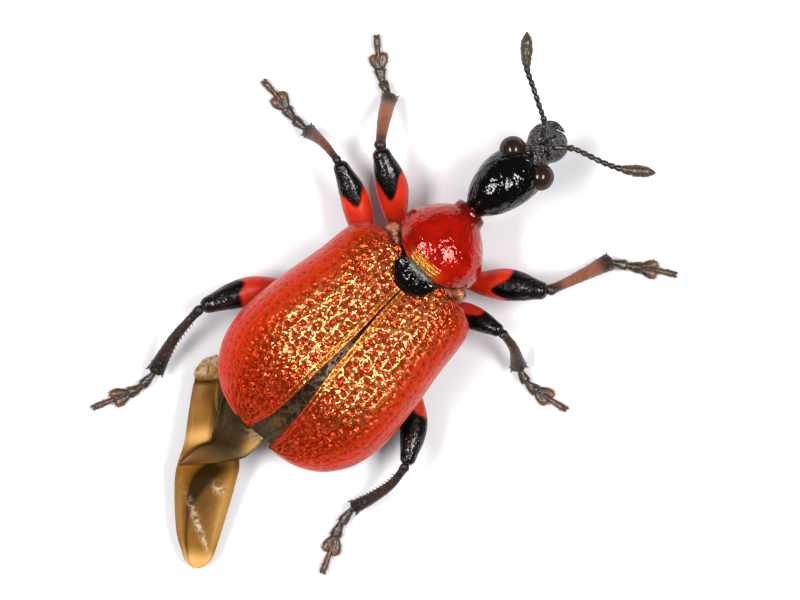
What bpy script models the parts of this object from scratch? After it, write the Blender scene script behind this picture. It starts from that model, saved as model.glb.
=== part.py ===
"""Hazel leaf-roller weevil: a still, life-size model in solid pieces.

The animal stands on its six feet, head towards -Y, its left side towards +X.
Places are written in millimetres on the animal: across (+ is its left),
along (+ is towards the tail, 0 at the scutellum) and up from the floor.
"""

import math

import bmesh
import bpy
from mathutils import Matrix, Vector

MM = 0.001
STANCE_CENTRE = (0.40, 1.10)

GAP = 0.25
WELD = 1e-7
FLOOR = 0.0
CUT_REACH = 0.3
SHARP_ANGLE = math.radians(50)

LEFT = 1
RIGHT = -1

# Elytra: plan, crest and lower rim, each against the share of their length
ELYTRA_FRONT = -0.12
ELYTRA_END = 4.12
ELYTRA_NOTCH = 0.70
ELYTRA_SHOULDER = 0.60
ELYTRA_WALL = 0.45
ELYTRA_INNER_EDGE = {LEFT: 0.03, RIGHT: -0.29}
ELYTRA_HALF_WIDTH = ((0, 1.08), (0.03, 1.34), (0.09, 1.47), (0.25, 1.56), (0.45, 1.70),
                     (0.66, 1.80), (0.80, 1.70), (0.91, 1.36), (0.97, 0.92), (1, 0.42))
ELYTRA_CREST = ((0, 2.36), (0.15, 2.62), (0.42, 2.86), (0.68, 2.72), (0.87, 2.18), (1, 1.55))
ELYTRA_RIM = ((0, 1.62), (0.20, 1.44), (0.60, 1.30), (1, 1.30))
ELYTRA_SQUARENESS = 0.58
ELYTRA_RIBS = 5
ELYTRA_RIB_HEIGHT = 0.035
ELYTRA_APEX_HALF_WIDTH = 0.12
ELYTRA_GRID = (24, 20)
ELYTRA_ROOT = (0.50, -0.12, 2.0)

# Trunk rings: along, half width, underside, top
PROTHORAX_RINGS = ((-1.38, 0.40, 1.38, 2.14), (-1.31, 0.44, 1.33, 2.18), (-1.26, 0.40, 1.36, 2.16),
                   (-1.16, 0.64, 1.10, 2.36), (-0.92, 0.84, 0.90, 2.52), (-0.66, 0.95, 0.80, 2.58),
                   (-0.54, 0.88, 0.84, 2.50), (-0.44, 0.96, 0.80, 2.56), (-0.10, 0.90, 0.82, 2.50))
PROTHORAX_REAR = -0.40
STERNUM_RINGS = ((-0.15, 0.70, 0.72, 1.30), (0.30, 0.76, 0.60, 1.16), (0.90, 0.98, 0.56, 1.08),
                 (1.40, 1.02, 0.56, 1.06))
METANOTUM_RINGS = ((-0.15, 0.40, 0.90, 1.60), (0.50, 0.62, 0.90, 1.62), (0.95, 0.76, 0.90, 1.90),
                   (1.40, 0.82, 0.90, 2.04))
BELLY_RINGS = ((1.65, 0.74, 0.66, 1.02), (2.20, 0.84, 0.60, 1.02), (2.90, 0.96, 0.62, 1.04),
               (3.45, 0.74, 0.68, 1.04), (3.90, 0.40, 0.74, 1.08))
TERGITE_RINGS = ((1.65, 0.82, 0.90, 2.02), (2.20, 0.89, 0.90, 1.96), (2.80, 0.86, 0.90, 1.70),
                 (3.30, 0.50, 0.88, 1.29), (3.75, 0.24, 0.88, 1.08))
TRUNK_CUT = 1.525
TRUNK_ROOT_UP = 1.0
TRUNK_SIDES = 12
BELL_SIDES = 16
EPIMERON = ((0.74, 0.02, 1.14), 0.18)

# Head: turned stations (along, radius) about its own axis, then the rostrum rings
HEAD_STATIONS = ((-1.62, 0.16), (-1.70, 0.25), (-1.95, 0.40), (-2.25, 0.505), (-2.50, 0.52),
                 (-2.78, 0.45), (-2.98, 0.30), (-3.06, 0.16))
HEAD_AXIS_UP = 1.80
HEAD_DEPTH = 0.92
ROSTRUM_RINGS = ((-2.80, 0.27, 1.48, 2.06), (-3.10, 0.29, 1.42, 1.98), (-3.40, 0.40, 1.34, 1.90),
                 (-3.62, 0.41, 1.32, 1.80), (-3.78, 0.28, 1.36, 1.68))
EYE_PLACE = (0.45, -2.88, 1.84)
EYE_RADIUS = 0.25
EYE_BASE = 0.46
EYE_SEAT = 0.33
EYE_SEAT_DEPTH = 1.0
EYE_SEAT_FLARE = 0.28
EYE_SEAT_SEGMENTS = 16
MANDIBLES = {
    LEFT: ((0.22, -3.60, 1.52), (0.24, -3.80, 1.50), (0.04, -3.90, 1.48), (-0.12, -3.86, 1.48)),
    RIGHT: ((-0.20, -3.60, 1.50), (-0.24, -3.76, 1.48), (-0.14, -3.84, 1.46), (-0.04, -3.84, 1.44)),
}
MANDIBLE_RADII = ((0, 0.10), (0.5, 0.08), (1, 0.02))
MANDIBLE_STATIONS = 6
FEELER_BOSS = ((0.17, -3.42, 1.90), 0.13)
BOSS_SEGMENTS = 10
MOUTH_SLOT = ((0, -3.80, 1.42), (0.50, 0.24, 0.06))

SCUTELLUM_CENTRE = (0.02, 0.08, 2.22)
SCUTELLUM_HALF_SIZE = (0.34, 0.20, 0.25)

# Feelers: from the root through the joints to the tip
ANTENNA_ROUTES = {
    LEFT: ((0.40, -3.68, 2.06), (0.75, -3.86, 2.14), (1.20, -4.09, 2.22), (1.70, -4.58, 2.28)),
    RIGHT: ((-0.46, -3.69, 2.06), (-0.80, -3.81, 2.12), (-1.26, -3.99, 2.18), (-1.80, -4.42, 2.22)),
}
ANTENNA_RADII = ((0, 0.20), (0.58, 0.215), (0.80, 0.25), (0.94, 0.17), (1, 0.03))
ANTENNA_BEADS = 9
BEAD_STATIONS = 3
ANTENNA_WAIST = 0.16

# Legs: (femur route, tibia route, tarsus route), each out from the last
LEG_ROUTES = {
    "front_leg_left": (
        ((1.02, -0.44, 0.62), (1.50, -0.90, 1.02), (2.11, -1.17, 1.22)),
        ((2.11, -1.17, 1.22), (2.42, -1.58, 0.86), (2.70, -2.00, 0.42)),
        ((2.70, -2.00, 0.34), (3.00, -2.14, 0.25), (3.30, -2.33, 0.19), (3.67, -2.64, 0.14))),
    "middle_leg_left": (
        ((1.12, 0.18, 0.62), (1.84, -0.16, 0.90), (2.47, -0.46, 1.17)),
        ((2.47, -0.46, 1.17), (2.90, -0.51, 0.85), (3.33, -0.48, 0.42)),
        ((3.33, -0.48, 0.34), (3.67, -0.46, 0.25), (4.08, -0.51, 0.19), (4.57, -0.55, 0.14))),
    "hind_leg_left": (
        ((1.42, 1.88, 0.66), (1.94, 2.38, 0.82), (2.37, 3.22, 1.12)),
        ((2.37, 3.22, 1.12), (2.34, 4.02, 0.76), (2.15, 4.72, 0.42)),
        ((2.15, 4.72, 0.34), (2.15, 5.14, 0.25), (2.31, 5.56, 0.19), (2.50, 6.02, 0.14))),
    "front_leg_right": (
        ((-1.02, -0.76, 0.62), (-1.40, -1.14, 1.00), (-1.94, -1.49, 1.20)),
        ((-1.94, -1.49, 1.20), (-2.16, -2.07, 0.84), (-2.40, -2.72, 0.42)),
        ((-2.40, -2.72, 0.34), (-2.71, -2.93, 0.25), (-3.03, -3.17, 0.19), (-3.45, -3.44, 0.14))),
    "middle_leg_right": (
        ((-0.96, -0.02, 0.60), (-1.37, -0.17, 0.84), (-1.88, -0.37, 1.10)),
        ((-1.88, -0.37, 1.10), (-2.24, -0.32, 0.80), (-2.57, -0.14, 0.42)),
        ((-2.57, -0.14, 0.34), (-2.90, -0.04, 0.25), (-3.30, -0.10, 0.19), (-3.78, -0.21, 0.14))),
    "hind_leg_right": (
        ((-1.46, 1.60, 0.66), (-1.96, 2.00, 0.82), (-2.38, 2.60, 1.10)),
        ((-2.38, 2.60, 1.10), (-2.40, 3.20, 0.78), (-2.25, 3.90, 0.42)),
        ((-2.25, 3.90, 0.34), (-2.31, 4.30, 0.25), (-2.48, 4.68, 0.19), (-2.71, 5.17, 0.14))),
}
FEMUR_RADII = ((0, 0.21), (0.45, 0.30), (0.75, 0.27), (1, 0.23))
TIBIA_RADII = ((0, 0.21), (0.5, 0.22), (1, 0.25))
FEMUR_STATIONS = 11
TIBIA_STATIONS = 9
LIMB_SIDES = 8
FEMUR_SIDES = 10

# Tarsus joints: where each starts and ends along the tarsus, and its radii
TARSUS_JOINTS = (
    (-0.20, 0.30, ((0, 0.20), (0.8, 0.24), (1, 0.20))),
    (0.24, 0.52, ((0, 0.19), (0.8, 0.25), (1, 0.20))),
    (0.50, 0.92, ((0, 0.16), (0.6, 0.15), (1, 0.13))),
)
TARSUS_LOBE = (0.46, 0.74, ((0, 0.13), (0.6, 0.20), (1, 0.11)))
LOBE_SPREAD = 0.15
CLAW = (0.86, 1.0, ((0, 0.10), (1, 0.02)))
CLAW_SPREAD = 0.10
JOINT_STATIONS = 5
CLAW_STATIONS = 4
CLAW_SIDES = 6
SPLAY_AT_ROOT = 0.3
SPLAY_AT_MIDDLE = 0.8

# Coxae: where each leg is hung under the trunk, with its radius
COXAE = {
    "front": ((0.42, -0.64, 0.72), 0.27),
    "middle": ((0.56, 0.44, 0.72), 0.27),
    "hind": ((1.02, 1.33, 0.74), 0.24),
}
COXA_SEGMENTS = 12

# Left hind wing: its outer edge, its inner edge and the height of its middle, from the
# fold beside the wing case out to the tip, then the stalk that it hangs by
WING_VANE = (
    ((1.50, 3.68), (1.36, 3.72), 0.56),
    ((1.60, 3.94), (1.10, 4.06), 0.58),
    ((1.50, 4.28), (0.78, 4.34), 0.60),
    ((1.21, 4.72), (0.36, 4.52), 0.64),
    ((0.84, 5.22), (-0.12, 4.74), 0.66),
    ((0.57, 5.72), (-0.42, 5.18), 0.56),
    ((0.23, 6.10), (-0.66, 5.62), 0.48),
    ((-0.24, 6.52), (-0.90, 6.08), 0.42),
    ((-0.60, 6.75), (-1.04, 6.40), 0.36),
    ((-0.90, 6.78), (-1.03, 6.62), 0.34),
)
WING_STALK = (
    ((0.66, 4.12), (-0.24, 4.16), 0.78),
    ((0.74, 4.46), (-0.18, 4.50), 0.74),
    ((0.60, 4.90), (-0.04, 4.92), 0.66),
)
WING_THICKNESS = 0.45
WING_EDGE_THINNING = 0.25
WING_EDGE_SHARPNESS = 4
WING_VEINS = (0.3, 0.6, 0.9)
VEIN_HEIGHT = 0.09
VEIN_HALF_WIDTH = 0.1
VANE_GRID = (10, 18)
STALK_GRID = (4, 4)

FINISHES = {
    "elytra": ((0.55, 0.04, 0.02), 0.25, 0.0),
    "pronotum": ((0.40, 0.01, 0.01), 0.20, 0.0),
    "black": ((0.01, 0.01, 0.01), 0.22, 0.0),
    "eye": ((0.04, 0.02, 0.01), 0.10, 0.0),
    "femur": ((0.50, 0.02, 0.02), 0.30, 0.0),
    "tibia": ((0.06, 0.03, 0.02), 0.40, 0.0),
    "tarsus": ((0.05, 0.02, 0.01), 0.55, 0.0),
    "wing": ((0.25, 0.15, 0.06), 0.30, 0.0),
    "body": ((0.14, 0.03, 0.02), 0.45, 0.0),
}


def at(across, along, up):
    """Turn a place on the animal into metres, the stance centred on the origin."""
    return Vector((across - STANCE_CENTRE[0], along - STANCE_CENTRE[1], up)) * MM


def smooth_through(stations):
    """Return a smooth function through (where, value) stations."""
    places = [station[0] for station in stations]
    values = [station[1] for station in stations]
    last = len(stations) - 1
    slopes = []
    for index in range(len(stations)):
        low = max(index - 1, 0)
        high = min(index + 1, last)
        slopes.append((values[high] - values[low]) / (places[high] - places[low]))

    def value(where):
        where = min(max(where, places[0]), places[last])
        index = 0
        while index < last - 1 and where > places[index + 1]:
            index += 1
        span = places[index + 1] - places[index]
        step = (where - places[index]) / span
        rest = 1 - step
        return (values[index] * (1 + 2 * step) * rest * rest
                + slopes[index] * span * step * rest * rest
                + values[index + 1] * step * step * (3 - 2 * step)
                - slopes[index + 1] * span * step * step * rest)

    return value


def route_through(points):
    """Return a smooth route through places on the animal, run from 0 to 1."""
    lengths = [0.0]
    for start, end in zip(points, points[1:]):
        lengths.append(lengths[-1] + (Vector(end) - Vector(start)).length)
    shares = [length / lengths[-1] for length in lengths]
    axes = [smooth_through([(share, point[axis]) for share, point in zip(shares, points)])
            for axis in range(3)]
    return lambda share: Vector([axis(share) for axis in axes])


def new_object(name, mesh):
    """Link a mesh to the scene as an object."""
    obj = bpy.data.objects.new(name, mesh)
    bpy.context.scene.collection.objects.link(obj)
    return obj


def settled(obj, weld=WELD):
    """Replace an object by the plain closed mesh that it evaluates to."""
    graph = bpy.context.evaluated_depsgraph_get()
    mesh = bpy.data.meshes.new_from_object(obj.evaluated_get(graph))
    place = obj.matrix_world.copy()
    name = obj.name
    bpy.data.objects.remove(obj, do_unlink=True)
    shape = bmesh.new()
    shape.from_mesh(mesh)
    bmesh.ops.remove_doubles(shape, verts=shape.verts, dist=weld)
    bmesh.ops.recalc_face_normals(shape, faces=shape.faces)
    shape.to_mesh(mesh)
    shape.free()
    plain = new_object(name, mesh)
    plain.matrix_world = place
    return plain


def tube(name, points, radii, count, sides=LIMB_SIDES):
    """Round limb along a smooth route, its radius given against the share of its length."""
    route = route_through(points)
    radius = radii if callable(radii) else smooth_through(radii)
    curve = bpy.data.curves.new(name, "CURVE")
    curve.dimensions = "3D"
    curve.bevel_depth = MM
    curve.bevel_resolution = (sides - 4) // 2
    curve.use_fill_caps = True
    spline = curve.splines.new("POLY")
    spline.points.add(count - 1)
    for index, point in enumerate(spline.points):
        share = index / (count - 1)
        point.co = (*at(*route(share)), 1)
        point.radius = radius(share)
    return settled(new_object(name, curve))


def cage_form(name, rings, sides=TRUNK_SIDES):
    """Soft closed form from a coarse cage of rings: along, half width, underside, top."""
    # The cage is wider than its rings by what softening draws it in
    spread = 1 / (1 - (1 - math.cos(2 * math.pi / sides)) / 3)
    shape = bmesh.new()
    loops = []
    for along, half_width, under, top in rings:
        loop = []
        for index in range(sides):
            angle = 2 * math.pi * index / sides
            across = half_width * spread * math.sin(angle)
            up = (under + top) / 2 + (top - under) / 2 * spread * math.cos(angle)
            loop.append(shape.verts.new(at(across, along, up)))
        loops.append(loop)
    for first, second in zip(loops, loops[1:]):
        for index in range(sides):
            after = (index + 1) % sides
            shape.faces.new((first[index], first[after], second[after], second[index]))
    shape.faces.new(loops[0])
    shape.faces.new(loops[-1])
    mesh = bpy.data.meshes.new(name)
    shape.to_mesh(mesh)
    shape.free()
    obj = new_object(name, mesh)
    soften = obj.modifiers.new("soften", "SUBSURF")
    soften.levels = 1
    soften.render_levels = 1
    return settled(obj)


def turned(name, stations, steps=16):
    """Turned form about a line along the body, from (along, radius) stations."""
    mesh = bpy.data.meshes.new(name)
    first, last = stations[0][0], stations[-1][0]
    profile = [(0, first)] + [(radius, along) for along, radius in stations] + [(0, last)]
    points = [Vector((radius, along, 0)) * MM for radius, along in profile]
    edges = [(index, index + 1) for index in range(len(points) - 1)]
    mesh.from_pydata(points, edges, [])
    obj = new_object(name, mesh)
    screw = obj.modifiers.new("turn", "SCREW")
    screw.axis = "Y"
    screw.steps = steps
    screw.render_steps = steps
    screw.use_merge_vertices = True
    screw.merge_threshold = WELD
    return settled(obj)


def bent_slab(name, across_steps, along_steps, place):
    """Flat slab split alike on both faces, then bent: place(u, v, w) gives each corner."""
    shape = bmesh.new()
    bmesh.ops.create_grid(shape, x_segments=across_steps, y_segments=along_steps, size=0.5)
    bmesh.ops.triangulate(shape, faces=shape.faces[:])
    mesh = bpy.data.meshes.new(name)
    shape.to_mesh(mesh)
    shape.free()
    obj = new_object(name, mesh)
    wall = obj.modifiers.new("wall", "SOLIDIFY")
    wall.thickness = 1
    wall.offset = 0
    slab = settled(obj)
    for vertex in slab.data.vertices:
        vertex.co = place(vertex.co.x + 0.5, vertex.co.y + 0.5, vertex.co.z + 0.5)
    return settled(slab)


def ball(name, centre, half_size, segments=16):
    """Ball or egg about a place on the animal."""
    mesh = bpy.data.meshes.new(name)
    shape = bmesh.new()
    bmesh.ops.create_uvsphere(shape, u_segments=segments, v_segments=segments // 2, radius=MM)
    bmesh.ops.scale(shape, verts=shape.verts, vec=half_size)
    bmesh.ops.translate(shape, verts=shape.verts, vec=at(*centre))
    shape.to_mesh(mesh)
    shape.free()
    return new_object(name, mesh)


def keep_largest(shape):
    """Drop every closed surface of a mesh but its largest."""
    left = set(shape.verts)
    groups = []
    while left:
        group = {left.pop()}
        edge_of_group = list(group)
        while edge_of_group:
            vertex = edge_of_group.pop()
            for edge in vertex.link_edges:
                other = edge.other_vert(vertex)
                if other not in group:
                    group.add(other)
                    edge_of_group.append(other)
        left -= group
        groups.append(group)
    groups.sort(key=len)
    for group in groups[:-1]:
        bmesh.ops.delete(shape, geom=list(group), context="VERTS")


def fuse(name, pieces):
    """Join closed pieces into one closed body."""
    base = pieces[0]
    tools = bpy.data.collections.new(name + "_pieces")
    for piece in pieces[1:]:
        tools.objects.link(piece)
    union = base.modifiers.new("union", "BOOLEAN")
    union.operation = "UNION"
    union.operand_type = "COLLECTION"
    union.collection = tools
    joined = settled(base, 0)
    for piece in pieces[1:]:
        bpy.data.objects.remove(piece, do_unlink=True)
    bpy.data.collections.remove(tools)
    shape = bmesh.new()
    shape.from_mesh(joined.data)
    keep_largest(shape)
    shape.to_mesh(joined.data)
    shape.free()
    joined.name = name
    return joined


def cut_away(obj, place, outward):
    """Cut off what lies beyond a plane and close the cut with a flat face."""
    shape = bmesh.new()
    shape.from_mesh(obj.data)
    parts = shape.verts[:] + shape.edges[:] + shape.faces[:]
    bmesh.ops.bisect_plane(shape, geom=parts, dist=WELD, plane_co=place, plane_no=outward,
                           clear_outer=True)
    rim = [edge for edge in shape.edges if edge.is_boundary]
    bmesh.ops.holes_fill(shape, edges=rim, sides=0)
    bmesh.ops.recalc_face_normals(shape, faces=shape.faces)
    shape.to_mesh(obj.data)
    shape.free()


def finish(obj, name, kind, origin, collection, stance):
    """Name a node, give it its material and set its origin at its root."""
    obj.name = name
    obj.data.name = name
    colour, roughness, metallic = FINISHES[kind]
    material = bpy.data.materials.new(name + "_" + kind)
    material.use_nodes = True
    shader = material.node_tree.nodes["Principled BSDF"]
    shader.inputs["Base Color"].default_value = (*colour, 1)
    shader.inputs["Roughness"].default_value = roughness
    shader.inputs["Metallic"].default_value = metallic
    material.diffuse_color = (*colour, 1)
    obj.data.materials.clear()
    obj.data.materials.append(material)
    root = at(*origin)
    for vertex in obj.data.vertices:
        vertex.co = vertex.co - root
    obj.location = root
    obj.data.shade_smooth()
    obj.data.set_sharp_from_angle(angle=SHARP_ANGLE)
    bpy.context.scene.collection.objects.unlink(obj)
    collection.objects.link(obj)
    obj.parent = stance


def carve(obj, cutter):
    """Cut a piece's shape out of an object."""
    cut = obj.modifiers.new("cut", "BOOLEAN")
    cut.operation = "DIFFERENCE"
    cut.object = cutter
    cutter.hide_render = True
    cutter.display_type = "WIRE"
    carved = settled(obj, 0)
    bpy.data.objects.remove(cutter, do_unlink=True)
    return carved


def make_elytron(side):
    """One wing case: a curved shell from the shoulder to the rounded end."""
    half_width = smooth_through(ELYTRA_HALF_WIDTH)
    crest = smooth_through(ELYTRA_CREST)
    rim = smooth_through(ELYTRA_RIM)
    start = ELYTRA_INNER_EDGE[side] * side

    def place(u, v, w):
        inset = ELYTRA_WALL * (1 - w)
        share = (1 - math.cos(math.pi * v)) / 2
        shoulder = min(u / ELYTRA_SHOULDER, 1)
        front = ELYTRA_FRONT + ELYTRA_NOTCH * (1 - shoulder * shoulder * (3 - 2 * shoulder))
        along = front + (ELYTRA_END - inset - front) * share
        rib = ELYTRA_RIB_HEIGHT * w * math.cos(2 * math.pi * ELYTRA_RIBS * u) * math.sin(math.pi * v)
        out = max(half_width(share) - inset, ELYTRA_APEX_HALF_WIDTH) + rib
        low = rim(share)
        high = max(crest(share) - inset, low + ELYTRA_APEX_HALF_WIDTH) + rib
        angle = math.pi / 2 * u
        across = start + (out - start) * math.sin(angle) ** ELYTRA_SQUARENESS
        up = low + (high - low) * math.cos(angle) ** ELYTRA_SQUARENESS if u < 1 else low
        return at(side * across, along, up)

    return bent_slab("elytron", *ELYTRA_GRID, place)


def pair_of_balls(name, centre, radius, segments=COXA_SEGMENTS):
    """A ball on each side of the body."""
    across, along, up = centre
    return [ball(name, (across * side, along, up), (radius,) * 3, segments) for side in (LEFT, RIGHT)]


def make_trunk_part(name, low_rings, high_rings, knobs):
    """Underside form, the form under the wing cases and its side knobs in one body."""
    pieces = [cage_form(name + "_low", low_rings), cage_form(name + "_high", high_rings)]
    for centre, radius in knobs:
        pieces += pair_of_balls(name + "_knob", centre, radius)
    return fuse(name, pieces)


def make_prothorax():
    """Bell of the pronotum with its front collar and the front coxae."""
    bell = fuse("pronotum", [cage_form("bell", PROTHORAX_RINGS, BELL_SIDES),
                             *pair_of_balls("coxa", *COXAE["front"])])
    cut_away(bell, at(0, PROTHORAX_REAR, 0), Vector((0, 1, 0)))
    return bell


def make_head():
    """Egg-shaped head with its short rostrum, flattened where the eyes sit."""
    egg = turned("egg", HEAD_STATIONS)
    for vertex in egg.data.vertices:
        across, along, up = vertex.co / MM
        vertex.co = at(across, along, HEAD_AXIS_UP + up * HEAD_DEPTH)
    pieces = [egg, carve(cage_form("rostrum", ROSTRUM_RINGS), mouth_slot())]
    pieces += pair_of_balls("boss", *FEELER_BOSS, BOSS_SEGMENTS)
    for side in (LEFT, RIGHT):
        pieces.append(tube("mandible", MANDIBLES[side], MANDIBLE_RADII, MANDIBLE_STATIONS))
    head = fuse("head", pieces)
    for side in (LEFT, RIGHT):
        head = carve(head, eye_seat(side))
    return head


def eye_seat(side):
    """Flared cutter that leaves the flat on the head which an eye faces."""
    mesh = bpy.data.meshes.new("eye_seat")
    shape = bmesh.new()
    wide = EYE_SEAT + EYE_SEAT_FLARE * EYE_SEAT_DEPTH
    bmesh.ops.create_cone(shape, cap_ends=True, segments=EYE_SEAT_SEGMENTS, radius1=EYE_SEAT * MM,
                          radius2=wide * MM, depth=EYE_SEAT_DEPTH * MM)
    turn = Matrix.Rotation(math.pi / 2 * side, 3, "Y")
    bmesh.ops.rotate(shape, verts=shape.verts, matrix=turn)
    middle = EYE_BASE - GAP + EYE_SEAT_DEPTH / 2
    bmesh.ops.translate(shape, verts=shape.verts, vec=at(middle * side, *EYE_PLACE[1:]))
    shape.to_mesh(mesh)
    shape.free()
    return new_object("eye_seat", mesh)


def mouth_slot():
    """Flat cutter for the line of the mouth below the mandibles."""
    centre, size = MOUTH_SLOT
    mesh = bpy.data.meshes.new("mouth_slot")
    shape = bmesh.new()
    bmesh.ops.create_cube(shape, size=MM)
    bmesh.ops.scale(shape, verts=shape.verts, vec=size)
    bmesh.ops.translate(shape, verts=shape.verts, vec=at(*centre))
    shape.to_mesh(mesh)
    shape.free()
    return new_object("mouth_slot", mesh)


def make_eye(side):
    """Domed eye with its flat base towards the head."""
    across, along, up = EYE_PLACE
    eye = ball("eye", (across * side, along, up), (EYE_RADIUS,) * 3)
    cut_away(eye, at(EYE_BASE * side, along, up), Vector((-side, 0, 0)))
    return eye


def make_antenna(side):
    """Feeler of beads that swell into a pointed club."""
    thickness = smooth_through(ANTENNA_RADII)

    def radius(share):
        bead = math.cos(2 * math.pi * ANTENNA_BEADS * share)
        return thickness(share) * (1 - ANTENNA_WAIST * (1 + bead) / 2)

    return tube("antenna", ANTENNA_ROUTES[side], radius, ANTENNA_BEADS * BEAD_STATIONS + 1)


def wing_vane(name, rungs, across_steps, along_steps, veins):
    """Thin vane between an outer and an inner edge, with veins raised on its upper face."""
    places = [index / (len(rungs) - 1) for index in range(len(rungs))]
    outer = [smooth_through([(place, rung[0][axis]) for place, rung in zip(places, rungs)])
             for axis in (0, 1)]
    inner = [smooth_through([(place, rung[1][axis]) for place, rung in zip(places, rungs)])
             for axis in (0, 1)]
    height = smooth_through([(place, rung[2]) for place, rung in zip(places, rungs)])

    def place(u, v, w):
        across = outer[0](v) * (1 - u) + inner[0](v) * u
        along = outer[1](v) * (1 - u) + inner[1](v) * u
        thickness = WING_THICKNESS * (1 - WING_EDGE_THINNING * abs(2 * u - 1) ** WING_EDGE_SHARPNESS)
        ridge = sum(max(0, 1 - abs(u - vein) / VEIN_HALF_WIDTH) for vein in veins)
        return at(across, along, height(v) + (w - 0.5) * thickness + w * ridge * VEIN_HEIGHT)

    return bent_slab(name, across_steps, along_steps, place)


def make_hind_wing():
    """Folded hind wing that hangs out behind, by its stalk from under the wing cases."""
    vane = wing_vane("vane", WING_VANE, *VANE_GRID, WING_VEINS)
    stalk = wing_vane("stalk", WING_STALK, *STALK_GRID, ())
    return fuse("hind_wing", [vane, stalk])


def bend_plane(before, after):
    """Place and direction of the cut across a joint between two routes."""
    first = (Vector(before[-1]) - Vector(before[-2])).normalized()
    second = (Vector(after[1]) - Vector(after[0])).normalized()
    return Vector(after[0]), (first + second).normalized()


def longer(points, at_start, at_end):
    """Run a route on past its ends, so that a cut there closes it with a flat face."""
    route = [Vector(point) for point in points]
    if at_start:
        route.insert(0, route[0] + (route[0] - route[1]).normalized() * CUT_REACH)
    if at_end:
        route.append(route[-1] + (route[-1] - route[-2]).normalized() * CUT_REACH)
    return route


def stretch(route, start, end, shift):
    """Three places along a route from one share to another, drawing apart by a shift."""
    ahead = (route(1) - route(0)).normalized()
    first = route(max(start, 0)) + ahead * min(start, 0)
    middle = route(max((start + end) / 2, 0))
    return (first + shift * SPLAY_AT_ROOT, middle + shift * SPLAY_AT_MIDDLE, route(end) + shift)


def make_tarsus(points):
    """Foot of four joints: two cones, a pair of lobes and a slender one with two claws."""
    route = route_through(points)
    none = Vector((0, 0, 0))
    ahead = route(1) - route(0)
    over = Vector((-ahead.y, ahead.x, 0)).normalized()
    pieces = [tube("joint", stretch(route, start, end, none), radii, JOINT_STATIONS)
              for start, end, radii in TARSUS_JOINTS]
    for side in (LEFT, RIGHT):
        start, end, radii = TARSUS_LOBE
        lobe = stretch(route, start, end, over * side * LOBE_SPREAD)
        pieces.append(tube("lobe", lobe, radii, JOINT_STATIONS))
        start, end, radii = CLAW
        claw = stretch(route, start, end, over * side * CLAW_SPREAD)
        pieces.append(tube("claw", claw, radii, CLAW_STATIONS, CLAW_SIDES))
    return fuse("tarsus", pieces)


def make_leg(leg):
    """Femur, tibia and tarsus of one leg, parted by thin cuts at the knee and ankle."""
    femur_route, tibia_route, tarsus_route = LEG_ROUTES[leg]
    knee, knee_way = bend_plane(femur_route, tibia_route)
    ankle, ankle_way = bend_plane(tibia_route, tarsus_route)
    half_gap = GAP / 2

    femur = tube("femur", longer(femur_route, False, True), FEMUR_RADII, FEMUR_STATIONS, FEMUR_SIDES)
    cut_away(femur, at(*(knee - knee_way * half_gap)), knee_way)
    tibia = tube("tibia", longer(tibia_route, True, True), TIBIA_RADII, TIBIA_STATIONS)
    cut_away(tibia, at(*(knee + knee_way * half_gap)), -knee_way)
    cut_away(tibia, at(*(ankle - ankle_way * half_gap)), ankle_way)
    tarsus = make_tarsus(tarsus_route)
    cut_away(tarsus, at(*(ankle + ankle_way * half_gap)), -ankle_way)
    cut_away(tarsus, at(0, 0, FLOOR), Vector((0, 0, -1)))
    return femur, tibia, tarsus


def build():
    """Make every node of the weevil."""
    for obj in list(bpy.data.objects):
        bpy.data.objects.remove(obj, do_unlink=True)
    collection = bpy.data.collections.new("hazel_leaf_roller_weevil")
    bpy.context.scene.collection.children.link(collection)
    stance = bpy.data.objects.new("stance", None)
    collection.objects.link(stance)

    def node(obj, name, kind, origin):
        finish(obj, name, kind, origin, collection, stance)

    node(make_head(), "head", "black", (0, HEAD_STATIONS[0][0], HEAD_AXIS_UP))
    node(make_prothorax(), "pronotum", "pronotum", (0, PROTHORAX_REAR, HEAD_AXIS_UP))
    node(ball("plate", SCUTELLUM_CENTRE, SCUTELLUM_HALF_SIZE), "scutellum", "black", SCUTELLUM_CENTRE)
    knobs = (COXAE["middle"], COXAE["hind"], EPIMERON)
    thorax = make_trunk_part("thorax", STERNUM_RINGS, METANOTUM_RINGS, knobs)
    cut_away(thorax, at(0, TRUNK_CUT - GAP / 2, 0), Vector((0, 1, 0)))
    node(thorax, "thorax", "body", (0, TRUNK_CUT, TRUNK_ROOT_UP))
    abdomen = make_trunk_part("abdomen", BELLY_RINGS, TERGITE_RINGS, ())
    cut_away(abdomen, at(0, TRUNK_CUT + GAP / 2, 0), Vector((0, -1, 0)))
    node(abdomen, "abdomen", "body", (0, TRUNK_CUT, TRUNK_ROOT_UP))
    node(make_hind_wing(), "hind_wing_left", "wing", (0, WING_STALK[0][0][1], WING_STALK[0][2]))
    for side, word in ((LEFT, "left"), (RIGHT, "right")):
        across, *rest = ELYTRA_ROOT
        node(make_elytron(side), "elytron_" + word, "elytra", (across * side, *rest))
        node(make_eye(side), "eye_" + word, "eye", (EYE_BASE * side, *EYE_PLACE[1:]))
        node(make_antenna(side), "antenna_" + word, "black", ANTENNA_ROUTES[side][0])
    for leg, routes in LEG_ROUTES.items():
        femur, tibia, tarsus = make_leg(leg)
        node(femur, leg + "_femur", "femur", routes[0][0])
        node(tibia, leg + "_tibia", "tibia", routes[1][0])
        node(tarsus, leg + "_tarsus", "tarsus", routes[2][0])


if __name__ == "__main__":
    build()
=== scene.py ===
"""Looks of the hazel leaf-roller weevil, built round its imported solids.

Places are written in millimetres on the animal: across (+ is its left), along
(+ is towards the tail, 0 at the scutellum) and up from the floor.
"""

import math
from functools import cache

import bmesh
import bpy
import numpy as np
from mathutils import Matrix, Vector


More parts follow.
